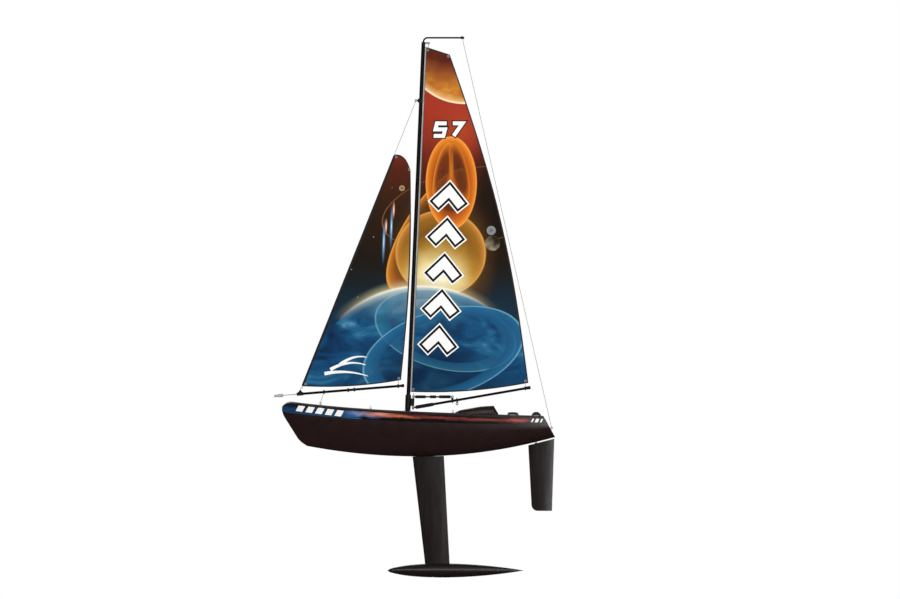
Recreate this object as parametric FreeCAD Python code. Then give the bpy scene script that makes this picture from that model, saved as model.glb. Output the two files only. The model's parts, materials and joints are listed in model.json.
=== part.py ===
"""A small radio-controlled sailing yacht: a 465 mm hull with a bulb keel, a sloop rig,
and its steering and sail gear.

Millimetres. +X points aft, +Y to starboard, +Z up. The origin is on the centreline at the lowest
point of the hull's bottom, where the keel fin leaves it and where a cradle holds the boat.
"""

import math
import os

import FreeCAD
import Part

V = FreeCAD.Vector

# ---------------------------------------------------------------- hull form
HULL_LENGTH = 465.0
BEAM = 118.0
BOW_X = -250.0
TRANSOM_X = BOW_X + HULL_LENGTH     # lower edge of the transom
TRANSOM_FOOT_Z = 33.0
TRANSOM_RAKE = 0.56                 # run per rise, leaning forward
STERN_DECK_X = TRANSOM_X - 21.0
LOW_POINT_X = -20.0
FOREFOOT_RISE = 17.0
FOREFOOT_RUN = 183.0
STEM_KNEE_Z = 73.0                  # the stem is upright above this and raked below it
STEM_RAKE = 0.627
FOREFOOT_Z = 30.0                   # the stem rounds into the bottom below this
SHEER_STERN_Z = 66.8
SHEER_SLOPE = 14.0
SHEER_SPRING = 12.5
NOSE_DROP = 8.0
NOSE_LENGTH = 12.0
TOPSIDE_STERN = 13.5
TOPSIDE_BOW_EXTRA = 3.5
CROWN = 2.5
WALL = 1.6                          # hull and deck mouldings
RIM = 2.6                           # depth of the deck's edge above the hull joint
DECAL = 0.3

# ---------------------------------------------------------------- keel
FIN_ROOT_X = (-28.0, 25.5)
FIN_TIP_X = (-6.3, 35.4)
FIN_TIP_Z = -186.5
FOIL_THICK = 0.11                   # share of the chord, for fin and rudder
TANG_X = (-16.0, 8.0)               # the fin's tongue, which stands in the trunk
TANG_THICK = 3.6
TANG_TOP_Z = 60.0
TRUNK_WALL = 2.0
BULB_Z = -194.2
BULB_NOSE_X = -70.6
BULB_LENGTH = 232.0
BULB_R = 12.0
BULB_FULLEST = 0.4
BULB_NOSE_POWER = 0.62
BULB_TAIL_POWER = 0.93
BULB_SCREW_X = 7.0
M3_R = 1.5
NUT_R = 3.2                         # to the corners
M2_R = 1.0

# ---------------------------------------------------------------- rudder and its gear
STOCK_X = 182.0
STOCK_R = 1.5
RUDDER_TUBE_R = 2.6
RUDDER_TOP_GAP = 2.2
RUDDER_CHORD_TOP = (-13.0, 31.5)    # ahead of and behind the stock
RUDDER_CHORD_TIP = (-7.5, 27.5)
RUDDER_TIP_Z = -92.7
RUDDER_CORNER_R = 11.0
TILLER_R = 11.0                     # pin circle, the same on the servo's horn
TILLER_Z = 54.0
ARM_THICK = 2.0
LINK_R = 0.7
LINK_PLAY = 0.3                     # open end of the steering linkage
HORN_X = 143.0
HORN_SHAFT_R = 2.0

# ---------------------------------------------------------------- sail and radio gear
TRAY_X = (25.0, 156.0)
TRAY_HALF = BEAM / 2
TRAY_TOP_Z = 24.0
TRAY_THICK = 2.0
SERVO_X = (34.0, 74.0)
SERVO_HALF = 10.0
SERVO_Z = (12.0, 50.0)
SERVO_SHAFT_X = 44.0
SERVO_SHAFT_R = 2.95
SHEET_ARM = 40.0
FLANGE = 7.0                        # servo ears, ahead of and behind the case
FLANGE_THICK = 2.5
MICRO_X = (126.5, 149.5)
MICRO_HALF = 6.0
MICRO_HEIGHT = 26.0
BATTERY_X = (86.0, 116.0)
BATTERY_HALF = 24.0
BATTERY_HEIGHT = 15.0
SWITCH_X = (40.0, 60.0)
SWITCH_Y = (-30.0, -20.0)
SWITCH_HEIGHT = 7.0
SWITCH_THROW = 4.0
RECEIVER_X = (36.0, 68.0)
RECEIVER_Y = (13.0, 31.0)
RECEIVER_HEIGHT = 9.0

# ---------------------------------------------------------------- deck fittings
HATCH_X = (44.5, 118.0)
HATCH_HALF = 27.0
HATCH_PEAK_X = 110.0
HATCH_PEAK = 14.6                   # above the deck
HATCH_WALL = 1.5
HATCH_NOSE = 0.72                   # width at the front, as a share of the width at the crest
HATCH_SQUARENESS = 7.0              # 2 is an ellipse; more is squarer
OPENING_X = (58.0, 106.0)
OPENING_HALF = 14.0
COAMING_WALL = 1.6
COAMING_HEIGHT = 2.4
SEAL_WIDTH = 1.4
SEAL_HEIGHT = 1.4
HUMP_X = (133.0, 153.0)
HUMP_HALF = 10.0
HUMP_HEIGHT = 4.6
CAP_X = (174.5, 191.0)
CAP_HALF = 8.0
CAP_HEIGHT = 6.3
COVER_LIP = 5.2                     # deck left under each end of a low cover, for its screws
EYE_R = 2.1
EYE_BORE = 1.2
EYE_WIDTH = 1.6
EYE_HEIGHT = 3.4                    # centre above the deck
JIB_SHEET_EYE_X = -99.6
MAIN_SHEET_EYE_X = 40.5
TRANSOM_EYE_Z = 48.5

# ---------------------------------------------------------------- rig
MAST_FOOT_X = -36.3
RAKE = math.radians(2.45)
MAST_R = 3.3
MAST_WALL = 0.6
MAST_HEIGHT = 624.0                 # above the deck
MAST_BURY = 42.0                    # below the deck, in its step
STEP_R = 5.2
FOOT_R = 4.85
FOOT_SPAN = (1.0, 27.5)             # above the deck
PIVOT_AFT = 9.0                     # gooseneck pin behind the mast's centreline
PIN_R = 0.7
RUNNING = 0.06                      # radial clearance of every turning fit
SNUG = 0.05                         # radial clearance of every glued or pressed fit
GAP = 0.3                           # between surfaces that must not touch
EYE_BODY_R = 2.4
BOOM_H = 6.0                        # boom's eye above the deck, along the mast
BOOM_R = 2.1
BOOM_RISE = math.radians(9.8)
BOOM_LENGTH = 203.0                 # from the gooseneck pin
BOOM_SOCKET_R = 3.1
BOOM_SOCKET = (4.4, 35.0)           # from the gooseneck pin
BOOM_INSERT = 12.0
RING_R = BOOM_R + 1.3
RING_WIDTH = 2.6
MAIN_SHEET_RING = 76.0              # along the boom from the pin
SHEET_EYE_DROP = 6.2                # mainsheet's eye below the boom's centreline
SHEET_EYE_R = 2.4
CLEW_RING = 194.0
VANG_H = 24.6
VANG_REACH = 66.0
VANG_END_R = 2.6
VANG_ROD_R = 1.4
VANG_STEPS = (3.2, 20.6, 28.0, 38.2, 43.6, 62.8)
CRANE_R = 1.4
CRANE_BEND_R = 7.0
MASTHEAD_CAP = 5.0                  # above the mast tube
CRANE_REACH = 68.8
CRANE_RISE = 12.3
MASTHEAD_EYE_H = 627.6
HOUND_H = 529.0
HOUND_R = 5.25
HOUND_HEIGHT = 6.8
HOUND_BACK = 3.0                    # the collar is open behind this, clear of the mainsail's edge
HOUND_EYE = 8.4                     # ahead of the mast's centreline
JIB_PIVOT_X = -184.8
JIB_BOOM_FRONT = (-224.8, 106.1)
JIB_BOOM_AFT = (-42.1, 120.8)
JIB_CAP_LENGTH = 11.5
STAY_RISE = 6.7                     # jib stay's foot above the boom
STAY_FOOT_X = -219.2
JIB_RINGS_X = (-137.5, -127.1, -52.3)
WEIGHT_X = (-263.8, -248.2)
WEIGHT_CAP = 2.0                    # metal ahead of the wire's end
WEIGHT_R = 2.75
WEIGHT_ROD_R = 0.75
LINE_R = 0.4
KNOT_R = 0.8

# ---------------------------------------------------------------- sails
SAIL_THICK = 0.3
SAIL_CAMBER = 0.045
LUFF_AFT = MAST_R + 0.6                      # mainsail's front edge behind the mast's centreline
MAIN_TACK_H = 33.0
MAIN_HEAD_H = 621.0
MAIN_CLEW = (169.1, 125.5)
MAIN_PEAK = (35.4, 684.4)
MAIN_ROACH = 19.4
MAIN_FOOT_ROUND = 6.0
JIB_HEAD_Z = 514.0
JIB_CLEW = (-47.8, 130.3)
JIB_PEAK = (-31.4, 486.5)
JIB_ROACH = 6.5
JIB_FOOT_ROUND = 5.0
JIB_HEAD_ROUND = 8.0
STAY_HEM = 0.8                      # jib's front edge behind the stay's centreline

parts = {}


# ================================================================ helpers
def box(x0, x1, y0, y1, z0, z1):
    """A box between two corners."""
    return Part.makeBox(x1 - x0, y1 - y0, z1 - z0, V(x0, y0, z0))


def rod(a, b, r):
    """A round bar from a to b."""
    d = b - a
    return Part.makeCylinder(r, d.Length, a, d)


def cone(a, b, ra, rb):
    """A tapered round bar from a to b."""
    d = b - a
    return Part.makeCone(ra, rb, d.Length, a, d)


def tube(a, b, r, bore):
    """A round bar from a to b with a hole through it."""
    return rod(a, b, r).cut(rod(a, b, bore))


def across(x, z, r, half):
    """A round bar across the boat."""
    return rod(V(x, -half, z), V(x, half, z), r)


def fuse(first, *others):
    """The solids joined into one, with the seams between them removed."""
    return first.multiFuse(list(others)).removeSplitter()


def plate(points, y0, y1):
    """A flat outline in the XZ plane, given as (x, z), made solid from y0 to y1."""
    corners = [V(x, y0, z) for x, z in points]
    face = Part.Face(Part.makePolygon(corners + corners[:1]))
    return face.extrude(V(0, y1 - y0, 0))


def uniform_knots(count):
    """Knots and their multiplicities for a clamped cubic with that many poles."""
    spans = count - 3
    return [float(k) for k in range(spans + 1)], [4] + [1] * (spans - 1) + [4]


def net_face(net):
    """A smooth cubic face drawn by a net of poles."""
    u_knots, u_mults = uniform_knots(len(net))
    v_knots, v_mults = uniform_knots(len(net[0]))
    surface = Part.BSplineSurface()
    surface.buildFromPolesMultsKnots(net, u_mults, v_mults, u_knots, v_knots, False, False, 3, 3)
    return surface.toShape()


def net_edge(poles):
    """The cubic edge that a row of poles draws, the same as the border of a face from net_face."""
    knots, mults = uniform_knots(len(poles))
    curve = Part.BSplineCurve()
    curve.buildFromPolesMultsKnots(poles, mults, knots, False, 3)
    return curve.toShape()


def closed_solid(faces):
    """One solid from faces that share their borders."""
    shell = Part.makeShell(faces)
    shell.sewShape()
    solid = Part.makeSolid(shell)
    if solid.Volume < 0:
        solid.reverse()
    return solid


def save(name, *solids):
    """Keeps the solids as one node."""
    shape = solids[0] if len(solids) == 1 else Part.makeCompound(list(solids))
    parts[name] = shape


# ================================================================ hull form
def base_sheer(x):
    """Height of the deck's edge, without the rounding at the nose."""
    s = max(0.0, (STERN_DECK_X - x) / (STERN_DECK_X - BOW_X))
    return SHEER_STERN_Z + SHEER_SLOPE * s + SHEER_SPRING * s ** 4


def sheer_z(x):
    """Height of the deck's edge."""
    nose = max(0.0, 1 - max(0.0, x - BOW_X) / NOSE_LENGTH)
    return base_sheer(x) - NOSE_DROP * nose ** 2


def knuckle_z(x):
    """Height where the upright topside turns into the round bottom."""
    s = max(0.0, (STERN_DECK_X - x) / (STERN_DECK_X - BOW_X))
    return base_sheer(x) - TOPSIDE_STERN - TOPSIDE_BOW_EXTRA * s


def keel_z(x):
    """Height of the hull's bottom on the centreline."""
    if x < LOW_POINT_X:
        return FOREFOOT_RISE * ((LOW_POINT_X - x) / FOREFOOT_RUN) ** 2
    return TRANSOM_FOOT_Z * ((x - LOW_POINT_X) / (TRANSOM_X - LOW_POINT_X)) ** 2


def stem_x(z):
    """Where the stem is at a height."""
    if z >= STEM_KNEE_Z:
        return BOW_X
    return BOW_X + (STEM_KNEE_Z - z) * STEM_RAKE + 0.055 * max(0.0, FOREFOOT_Z - z) ** 2


def transom_x(z):
    """Where the transom is at a height."""
    return TRANSOM_X - (z - TRANSOM_FOOT_Z) * TRANSOM_RAKE


def half_beam(s):
    """Half of the deck's width at a share s of the length from the bow: widest at 0.6."""
    if s < 0.6:
        return BEAM / 2 * math.sin(math.pi / 2 * (s / 0.6) ** 0.62)
    return BEAM / 2 * (1 - 0.2 * ((s - 0.6) / 0.4) ** 2)


LENGTH_STEPS = 28
GIRTH_STEPS = 9
TOPSIDE_STEPS = 3
CROWN_STEPS = 6


def section_point(row, s):
    """Share of the half beam, and the way from topside to keel, of a row of the hull's net."""
    if row <= TOPSIDE_STEPS:
        return 1 - 0.03 * row / TOPSIDE_STEPS, None
    turn = math.pi / 2 * (row - TOPSIDE_STEPS) / GIRTH_STEPS
    power = 2 / (1.65 + 0.6 * s)
    return 0.97 * max(0.0, math.cos(turn)) ** power, math.sin(turn) ** power


def row_z(row, x, s, inset):
    """Height of a row of the hull's net at x, for a form inset from the outer one."""
    top, knuckle, keel = sheer_z(x) - inset, knuckle_z(x), keel_z(x) + inset
    if row <= TOPSIDE_STEPS:
        return top + (knuckle - top) * row / TOPSIDE_STEPS
    return knuckle - (knuckle - keel) * section_point(row, s)[1]


def settle(place, row, s, inset):
    """The x where a row of the net meets the stem or the transom, by repeated substitution."""
    x = place(50.0)
    for _ in range(60):
        x += 0.5 * (place(row_z(row, x, s, inset)) - x)
    return x


def hull_net(side, inset):
    """Poles of one side of the hull, from the stem aft and from the deck's edge to the keel."""
    rows = range(TOPSIDE_STEPS + GIRTH_STEPS + 1)
    fronts = [settle(stem_x, r, 0.0, inset) + 1.3 * inset for r in rows]
    backs = [settle(transom_x, r, 1.0, inset) - 1.15 * inset for r in rows]
    net = []
    for i in range(LENGTH_STEPS + 1):
        s = (i / LENGTH_STEPS) ** 1.7
        along = 0.0 if i == 1 else s        # the second row stands beside the stem, for a round nose
        line = []
        for r in rows:
            x = fronts[r] + (backs[r] - fronts[r]) * along
            y = (BEAM / 2 - inset) / (BEAM / 2) * half_beam(s) * section_point(r, s)[0]
            z = row_z(r, x, along, inset)
            if i == LENGTH_STEPS:
                x = transom_x(z) - 1.15 * inset
            line.append(V(x, side * y, z))
        net.append(line)
    return net


def hull_form(inset):
    """The closed solid inside the hull's and deck's outer surface, smaller by inset all round."""
    port, starboard = hull_net(-1, inset), hull_net(1, inset)
    crown = []
    for i in range(LENGTH_STEPS + 1):
        edge = starboard[i][0]
        rise = CROWN * min(1.0, 8 * i / LENGTH_STEPS)
        line = []
        for k in range(CROWN_STEPS + 1):
            v = 2 * k / CROWN_STEPS - 1
            z = edge.z + rise * (1 - v * v)
            x = edge.x if i < LENGTH_STEPS else transom_x(z) - 1.15 * inset
            line.append(V(x, edge.y * v, z))
        crown.append(line)
    rim = Part.Wire(Part.__sortEdges__([net_edge(port[-1]), net_edge(starboard[-1]), net_edge(crown[-1])]))
    return closed_solid([net_face(port), net_face(starboard), net_face(crown), Part.Face(rim)])


def deck_z(x):
    """Height of the deck on the centreline."""
    return sheer_z(x) + CROWN


def under_curve(height, margin):
    """A block from far below the boat up to a height that changes along the boat."""
    steps = 40
    run = [BOW_X - margin + (HULL_LENGTH + 2 * margin) * i / steps for i in range(steps + 1)]
    top = Part.BSplineCurve()
    top.interpolate([V(x, -BEAM, height(min(max(x, BOW_X), TRANSOM_X))) for x in run])
    floor_z = -50.0
    a, b = V(run[0], -BEAM, floor_z), V(run[-1], -BEAM, floor_z)
    sides = [Part.makeLine(a, top.StartPoint), top.toShape(), Part.makeLine(top.EndPoint, b),
             Part.makeLine(b, a)]
    return Part.Face(Part.Wire(Part.__sortEdges__(sides))).extrude(V(0, 2 * BEAM, 0))


outer = hull_form(0.0)
cavity = hull_form(WALL)
below_joint = under_curve(lambda x: sheer_z(x) - RIM, 10.0)
moulding = outer.cut(cavity)
skin = hull_form(-DECAL)
lining = hull_form(WALL + GAP)


# ================================================================ hull pieces
def hull_shell():
    """The hull moulding, with the slot for the fin's tongue and the hole for the rudder tube."""
    slot = box(TANG_X[0] - SNUG, TANG_X[1] + SNUG, -TANG_THICK / 2 - SNUG, TANG_THICK / 2 + SNUG, -5.0, 6.0)
    bore = rod(V(STOCK_X, 0, 10.0), V(STOCK_X, 0, 40.0), RUDDER_TUBE_R + SNUG)
    return moulding.common(below_joint).cut(slot).cut(bore)


def deck_shell():
    """The deck moulding: its openings, the upstand round the hatch opening and the mast hole."""
    shape = moulding.cut(below_joint)
    rim = box(OPENING_X[0] - COAMING_WALL, OPENING_X[1] + COAMING_WALL, -OPENING_HALF - COAMING_WALL,
              OPENING_HALF + COAMING_WALL, 60.0, 60.0 + HULL_LENGTH)
    upstand = rim.common(hull_form(-COAMING_HEIGHT)).cut(cavity)
    shape = fuse(shape, upstand)
    shape = shape.cut(box(*OPENING_X, -OPENING_HALF, OPENING_HALF, 50.0, 100.0))
    for (x0, x1), half in ((HUMP_X, HUMP_HALF), (CAP_X, CAP_HALF)):
        shape = shape.cut(box(x0 + COVER_LIP, x1 - COVER_LIP, 2.0 - half, half - 2.0, 50.0, 100.0))
    for x, z in cover_screw_spots():
        shape = shape.cut(rod(V(x, 0, z - 20), V(x, 0, z), M2_R + SNUG))
    return shape.cut(rod(rig(0, -12.0), rig(0, 12.0), MAST_R + SNUG))


def decal(side):
    """The printed band on one topside, from the hull joint down to the shoulder."""
    band = skin.cut(outer).common(below_joint).cut(under_curve(knuckle_z, 10.0))
    reach = 2 * HULL_LENGTH
    return band.common(box(-reach, reach, min(0, side * BEAM), max(0, side * BEAM), 0.0, reach))


def hatch_stations(inset):
    """Cross-sections of the hatch cover as (x, half width, top): a long rise, a crest and a steep back."""
    front, back = HATCH_X[0] + inset, HATCH_X[1] - inset
    crest = deck_z(HATCH_PEAK_X) + HATCH_PEAK
    tops = [(front, deck_z(front) + 1.2), (front + 9.0, deck_z(front) + 5.0), (front + 26.0, crest - 4.6),
            (HATCH_PEAK_X - 23.0, crest - 1.6), (HATCH_PEAK_X, crest), (back, deck_z(back) + 1.5)]
    stations = []
    for x, top in tops:
        share = HATCH_NOSE + (1 - HATCH_NOSE) * (x - front) / (HATCH_PEAK_X - front)
        stations.append((x, HATCH_HALF * min(share, 1.0) - inset, top - inset))
    return stations


def hatch_block(inset):
    """The solid inside the hatch cover's outer surface: superellipse sections with round shoulders."""
    floor_z, steps, power = 55.0, 20, 2 / HATCH_SQUARENESS
    wires = []
    for x, half, top in hatch_stations(inset):
        points = []
        for k in range(steps + 1):
            turn = math.pi * k / steps
            y = -half * math.copysign(abs(math.cos(turn)) ** power, math.cos(turn))
            points.append(V(x, y, floor_z + (top - floor_z) * max(0.0, math.sin(turn)) ** power))
        curve = Part.BSplineCurve()
        curve.interpolate(points)
        wires.append(Part.Wire([curve.toShape(), Part.makeLine(points[-1], points[0])]))
    return Part.makeLoft(wires, True, True)


def hatch_cover():
    """The raised cover over the radio bay: a hollow moulding that stands just clear of the deck."""
    return hatch_block(0.0).cut(hatch_block(HATCH_WALL)).cut(skin)


def hatch_seal():
    """The rubber strip on the deck round the hatch opening's upstand."""
    near, far = COAMING_WALL + SNUG, COAMING_WALL + SEAL_WIDTH
    ring = box(OPENING_X[0] - far, OPENING_X[1] + far, -OPENING_HALF - far, OPENING_HALF + far, 60.0, 100.0)
    ring = ring.cut(box(OPENING_X[0] - near, OPENING_X[1] + near, -OPENING_HALF - near,
                        OPENING_HALF + near, 50.0, 110.0))
    return ring.common(hull_form(-SEAL_HEIGHT)).cut(skin)


def low_cover(span, half, height):
    """A low sloped cover screwed to the deck."""
    x0, x1 = span
    top = deck_z((x0 + x1) / 2) + height
    slope = 5.0
    block = plate([(x0, 60.0), (x0, deck_z(x0) + 1.0), (x0 + slope, top), (x1 - slope, top),
                   (x1, deck_z(x1) + 1.0), (x1, 60.0)], -half, half)
    edges = [e for e in block.Edges if e.CenterOfMass.z > top - 2.5]
    block = block.makeFillet(1.2, edges)
    hollow = block.translated(V(0, 0, -1.4)).common(box(x0 + 2, x1 - 2, 2 - half, half - 2, 0, 200))
    return block.cut(hollow).cut(skin)


def cover_screw_spots():
    """Where the two screws of each low cover stand, and the height under their heads."""
    return [(x, deck_z(x) + 3.4) for span in (HUMP_X, CAP_X) for x in (span[0] + 2.6, span[1] - 2.6)]


def pan_screw(x, y, z, length, r, head_r):
    """A round-headed screw pointing down from z, with a socket in its head."""
    head = Part.makeSphere(head_r * 1.25, V(x, y, z - head_r * 0.75)).common(
        box(x - head_r, x + head_r, y - head_r, y + head_r, z, z + head_r))
    shank = rod(V(x, y, z - length), V(x, y, z + 0.1), r)
    socket = rod(V(x, y, z + head_r * 0.25), V(x, y, z + head_r), head_r * 0.4)
    return fuse(head, shank).cut(socket)


def deck_eye(x):
    """A fairlead on the deck: a ring on a short stem, bored across the boat."""
    z = deck_z(x) + EYE_HEIGHT
    ring = across(x, z, EYE_R, EYE_WIDTH / 2)
    stem = cone(V(x, 0, z - EYE_R + 0.3), V(x, 0, deck_z(x) - GAP), 0.9, 1.5)
    foot = rod(V(x, 0, deck_z(x) - 0.6), V(x, 0, deck_z(x) + 0.6), 2.4)
    return fuse(ring, stem, foot).cut(across(x, z, EYE_BORE, EYE_WIDTH)).cut(outer)


# ================================================================ keel
def foil_wire(x0, x1, z):
    """A symmetric foil section between two x at a height: round nose, thin blunt tail."""
    chord, count, half_tail = x1 - x0, 9, 0.25

    def half(t):
        shape = 0.2969 * math.sqrt(t) - 0.126 * t - 0.3516 * t ** 2 + 0.2843 * t ** 3 - 0.1036 * t ** 4
        return 5 * FOIL_THICK * chord * shape + half_tail * t

    steps = [(k / count) ** 2 for k in range(count + 1)]
    upper = [V(x0 + chord * t, half(t), z) for t in steps]
    lower = [V(p.x, -p.y, z) for p in upper]
    curve = Part.BSplineCurve()
    curve.interpolate(upper[::-1] + lower[1:])
    return Part.Wire([curve.toShape(), Part.makeLine(lower[-1], upper[-1])])


def foil_block(root, root_z, tip, tip_z):
    """A tapered foil between two sections."""
    return Part.makeLoft([foil_wire(*root, root_z), foil_wire(*tip, tip_z)], True, True)


def keel_fin():
    """The fin with the tongue that stands in the trunk, drilled for the stud and the bulb's screw."""
    over = 6.0
    lean = [(a - b) * over / -FIN_TIP_Z for a, b in zip(FIN_ROOT_X, FIN_TIP_X)]
    top = (FIN_ROOT_X[0] + lean[0], FIN_ROOT_X[1] + lean[1])
    blade = foil_block(top, over, FIN_TIP_X, FIN_TIP_Z).cut(skin)
    tongue = box(*TANG_X, -TANG_THICK / 2, TANG_THICK / 2, -1.5, TANG_TOP_Z)
    mid = sum(TANG_X) / 2
    shape = fuse(blade, tongue)
    shape = shape.cut(rod(V(mid, 0, TANG_TOP_Z - 14), V(mid, 0, TANG_TOP_Z + 1), M3_R + SNUG))
    thread = rod(V(BULB_SCREW_X, 0, FIN_TIP_Z - 1), V(BULB_SCREW_X, 0, FIN_TIP_Z + 12), M3_R * 0.8 + SNUG)
    return shape.cut(thread)


def keel_trunk():
    """The case inside the hull that the fin's tongue slides up into."""
    side, wall = TANG_THICK / 2 + SNUG, TRUNK_WALL
    x0, x1 = TANG_X[0] - SNUG, TANG_X[1] + SNUG
    shape = box(x0 - wall, x1 + wall, -side - wall, side + wall, 0.0, TANG_TOP_Z + wall)
    foot = box(x0 - 3 * wall, x1 + 3 * wall, -side - 4 * wall, side + 4 * wall, 0.0, 3 * wall)
    shape = fuse(shape, foot).cut(box(x0, x1, -side, side, -1.0, TANG_TOP_Z + SNUG))
    mid = sum(TANG_X) / 2
    bore = rod(V(mid, 0, TANG_TOP_Z - 1), V(mid, 0, TANG_TOP_Z + 9), M3_R + 2 * SNUG)
    return shape.cut(bore).common(lining)


def keel_stud():
    """The threaded stud that pulls the fin up into the trunk."""
    mid = sum(TANG_X) / 2
    return rod(V(mid, 0, TANG_TOP_Z - 13), V(mid, 0, TANG_TOP_Z + TRUNK_WALL + 6.5), M3_R)


def keel_nut():
    """The hexagonal nut on the keel stud."""
    mid, z = sum(TANG_X) / 2, TANG_TOP_Z + TRUNK_WALL + SNUG
    turns = [k * math.pi / 3 for k in range(7)]
    corners = [V(mid + NUT_R * math.cos(a), NUT_R * math.sin(a), z) for a in turns]
    nut = Part.Face(Part.makePolygon(corners)).extrude(V(0, 0, 2.4))
    return nut.cut(rod(V(mid, 0, z - 1), V(mid, 0, z + 4), M3_R + SNUG))


def keel_bulb():
    """The iron bulb: a slender body of revolution with a rounder nose than tail, slotted for the fin."""
    steps = 14
    points = []
    for k in range(steps + 1):
        t = 0.5 - 0.5 * math.cos(math.pi * k / steps)
        nose = (t / BULB_FULLEST) ** BULB_NOSE_POWER
        tail = ((1 - t) / (1 - BULB_FULLEST)) ** BULB_TAIL_POWER
        r = BULB_R * nose * tail
        points.append(V(BULB_NOSE_X + BULB_LENGTH * t, 0, BULB_Z + max(0.0, r)))
    curve = Part.BSplineCurve()
    curve.interpolate(points)
    axis = Part.makeLine(points[-1], points[0])
    shape = Part.Face(Part.Wire([curve.toShape(), axis])).revolve(V(0, 0, BULB_Z), V(1, 0, 0), 360)
    seat = (FIN_TIP_X[0] - 0.8, FIN_TIP_X[1] + 0.8)
    slot = foil_block(seat, FIN_TIP_Z, seat, FIN_TIP_Z + 20)
    low = BULB_Z - BULB_R
    recess = rod(V(BULB_SCREW_X, 0, low - 1), V(BULB_SCREW_X, 0, low + 4.0), 3.1)
    bore = rod(V(BULB_SCREW_X, 0, low), V(BULB_SCREW_X, 0, FIN_TIP_Z + 1), M3_R + SNUG)
    return shape.cut(slot).cut(recess).cut(bore)


def bulb_screw():
    """The screw that holds the bulb to the fin, from underneath."""
    z = BULB_Z - BULB_R + 4.0
    head = rod(V(BULB_SCREW_X, 0, z - 2.4), V(BULB_SCREW_X, 0, z - SNUG), 2.8)
    shank = rod(V(BULB_SCREW_X, 0, z - 1), V(BULB_SCREW_X, 0, FIN_TIP_Z + 0.5), M3_R)
    point = rod(V(BULB_SCREW_X, 0, z), V(BULB_SCREW_X, 0, FIN_TIP_Z + 11), M3_R * 0.8)
    socket = rod(V(BULB_SCREW_X, 0, z - 3), V(BULB_SCREW_X, 0, z - 1.2), 1.3)
    return fuse(head, shank.cut(rod(V(BULB_SCREW_X, 0, FIN_TIP_Z), V(BULB_SCREW_X, 0, FIN_TIP_Z + 2), 3)),
                point).cut(socket)


# ================================================================ rudder and steering gear
def rudder_outline():
    """The blade's side view, its top edge parallel to the hull, its lower front corner rounded."""
    front, back = STOCK_X + RUDDER_CHORD_TOP[0], STOCK_X + RUDDER_CHORD_TOP[1]
    tip_front, tip_back = STOCK_X + RUDDER_CHORD_TIP[0], STOCK_X + RUDDER_CHORD_TIP[1]
    r = RUDDER_CORNER_R
    a = V(front, 0, keel_z(front) - RUDDER_TOP_GAP)
    b = V(back, 0, keel_z(back) - RUDDER_TOP_GAP)
    c = V(tip_back, 0, RUDDER_TIP_Z)
    d = V(tip_front + r, 0, RUDDER_TIP_Z)
    e = V(tip_front, 0, RUDDER_TIP_Z + r)
    middle = V(tip_front + r * (1 - math.sqrt(0.5)), 0, RUDDER_TIP_Z + r * (1 - math.sqrt(0.5)))
    corner = Part.Arc(d, middle, e).toShape()
    edges = [Part.makeLine(a, b), Part.makeLine(b, c), Part.makeLine(c, d), corner, Part.makeLine(e, a)]
    return Part.Wire(edges)


def rudder_blade():
    """The rudder's foil, drilled for its stock."""
    top_z, drop = 40.0, 40.0 - RUDDER_TIP_Z
    root = [STOCK_X + a + (a - b) * (top_z - 20.0) / drop
            for a, b in zip(RUDDER_CHORD_TOP, RUDDER_CHORD_TIP)]
    tip = [STOCK_X + b for b in RUDDER_CHORD_TIP]
    foil = foil_block(root, top_z, tip, RUDDER_TIP_Z - 1)
    reach = 10.0
    window = Part.Face(rudder_outline()).extrude(V(0, 2 * reach, 0)).translated(V(0, -reach, 0))
    return foil.common(window).cut(rod(V(STOCK_X, 0, RUDDER_TIP_Z + 40), V(STOCK_X, 0, 60), STOCK_R + SNUG))


def rudder_stock():
    """The steel bar that the rudder turns on."""
    return rod(V(STOCK_X, 0, RUDDER_TIP_Z + 41), V(STOCK_X, 0, TILLER_Z + ARM_THICK + 4), STOCK_R)


def rudder_tube():
    """The tube that carries the stock up through the hull."""
    shape = tube(V(STOCK_X, 0, 10.0), V(STOCK_X, 0, TILLER_Z - 1.0), RUDDER_TUBE_R, STOCK_R + RUNNING)
    return shape.common(outer)


def lever(x, z, reach, hub_r, tip_r, turn=90.0):
    """A flat arm from a hub at x, reaching out level at an angle from aft."""
    along = V(math.cos(math.radians(turn)), math.sin(math.radians(turn)), 0)
    side = V(-along.y, along.x, 0)
    a, b = V(x, 0, z), V(x, 0, z) + along * reach
    bar = [a + side * hub_r * 0.8, b + side * tip_r * 0.9, b - side * tip_r * 0.9, a - side * hub_r * 0.8]
    bar = Part.Face(Part.makePolygon(bar + bar[:1])).extrude(V(0, 0, ARM_THICK))
    up = V(0, 0, ARM_THICK)
    return fuse(bar, rod(a, a + up, hub_r), rod(b, b + up, tip_r))


def tiller_arm():
    """The arm clamped on the rudder stock, with its pushrod hole left roomy."""
    arm = lever(STOCK_X, TILLER_Z, TILLER_R, 4.2, 2.0)
    hub = rod(V(STOCK_X, 0, TILLER_Z), V(STOCK_X, 0, TILLER_Z + ARM_THICK + 3), 3.6)
    arm = fuse(arm, hub).cut(rod(V(STOCK_X, 0, TILLER_Z - 1), V(STOCK_X, 0, TILLER_Z + 9), STOCK_R + SNUG))
    mid = TILLER_Z + ARM_THICK + 1.6
    arm = arm.cut(rod(V(STOCK_X - 5, 0, mid), V(STOCK_X, 0, mid), M2_R * 0.8 + SNUG))
    return arm.cut(pin_hole(STOCK_X, LINK_PLAY))


def tiller_screw():
    """The grub screw that clamps the tiller arm to the stock."""
    mid = TILLER_Z + ARM_THICK + 1.6
    return rod(V(STOCK_X - 5.0, 0, mid), V(STOCK_X - STOCK_R - SNUG, 0, mid), M2_R * 0.8)


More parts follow.
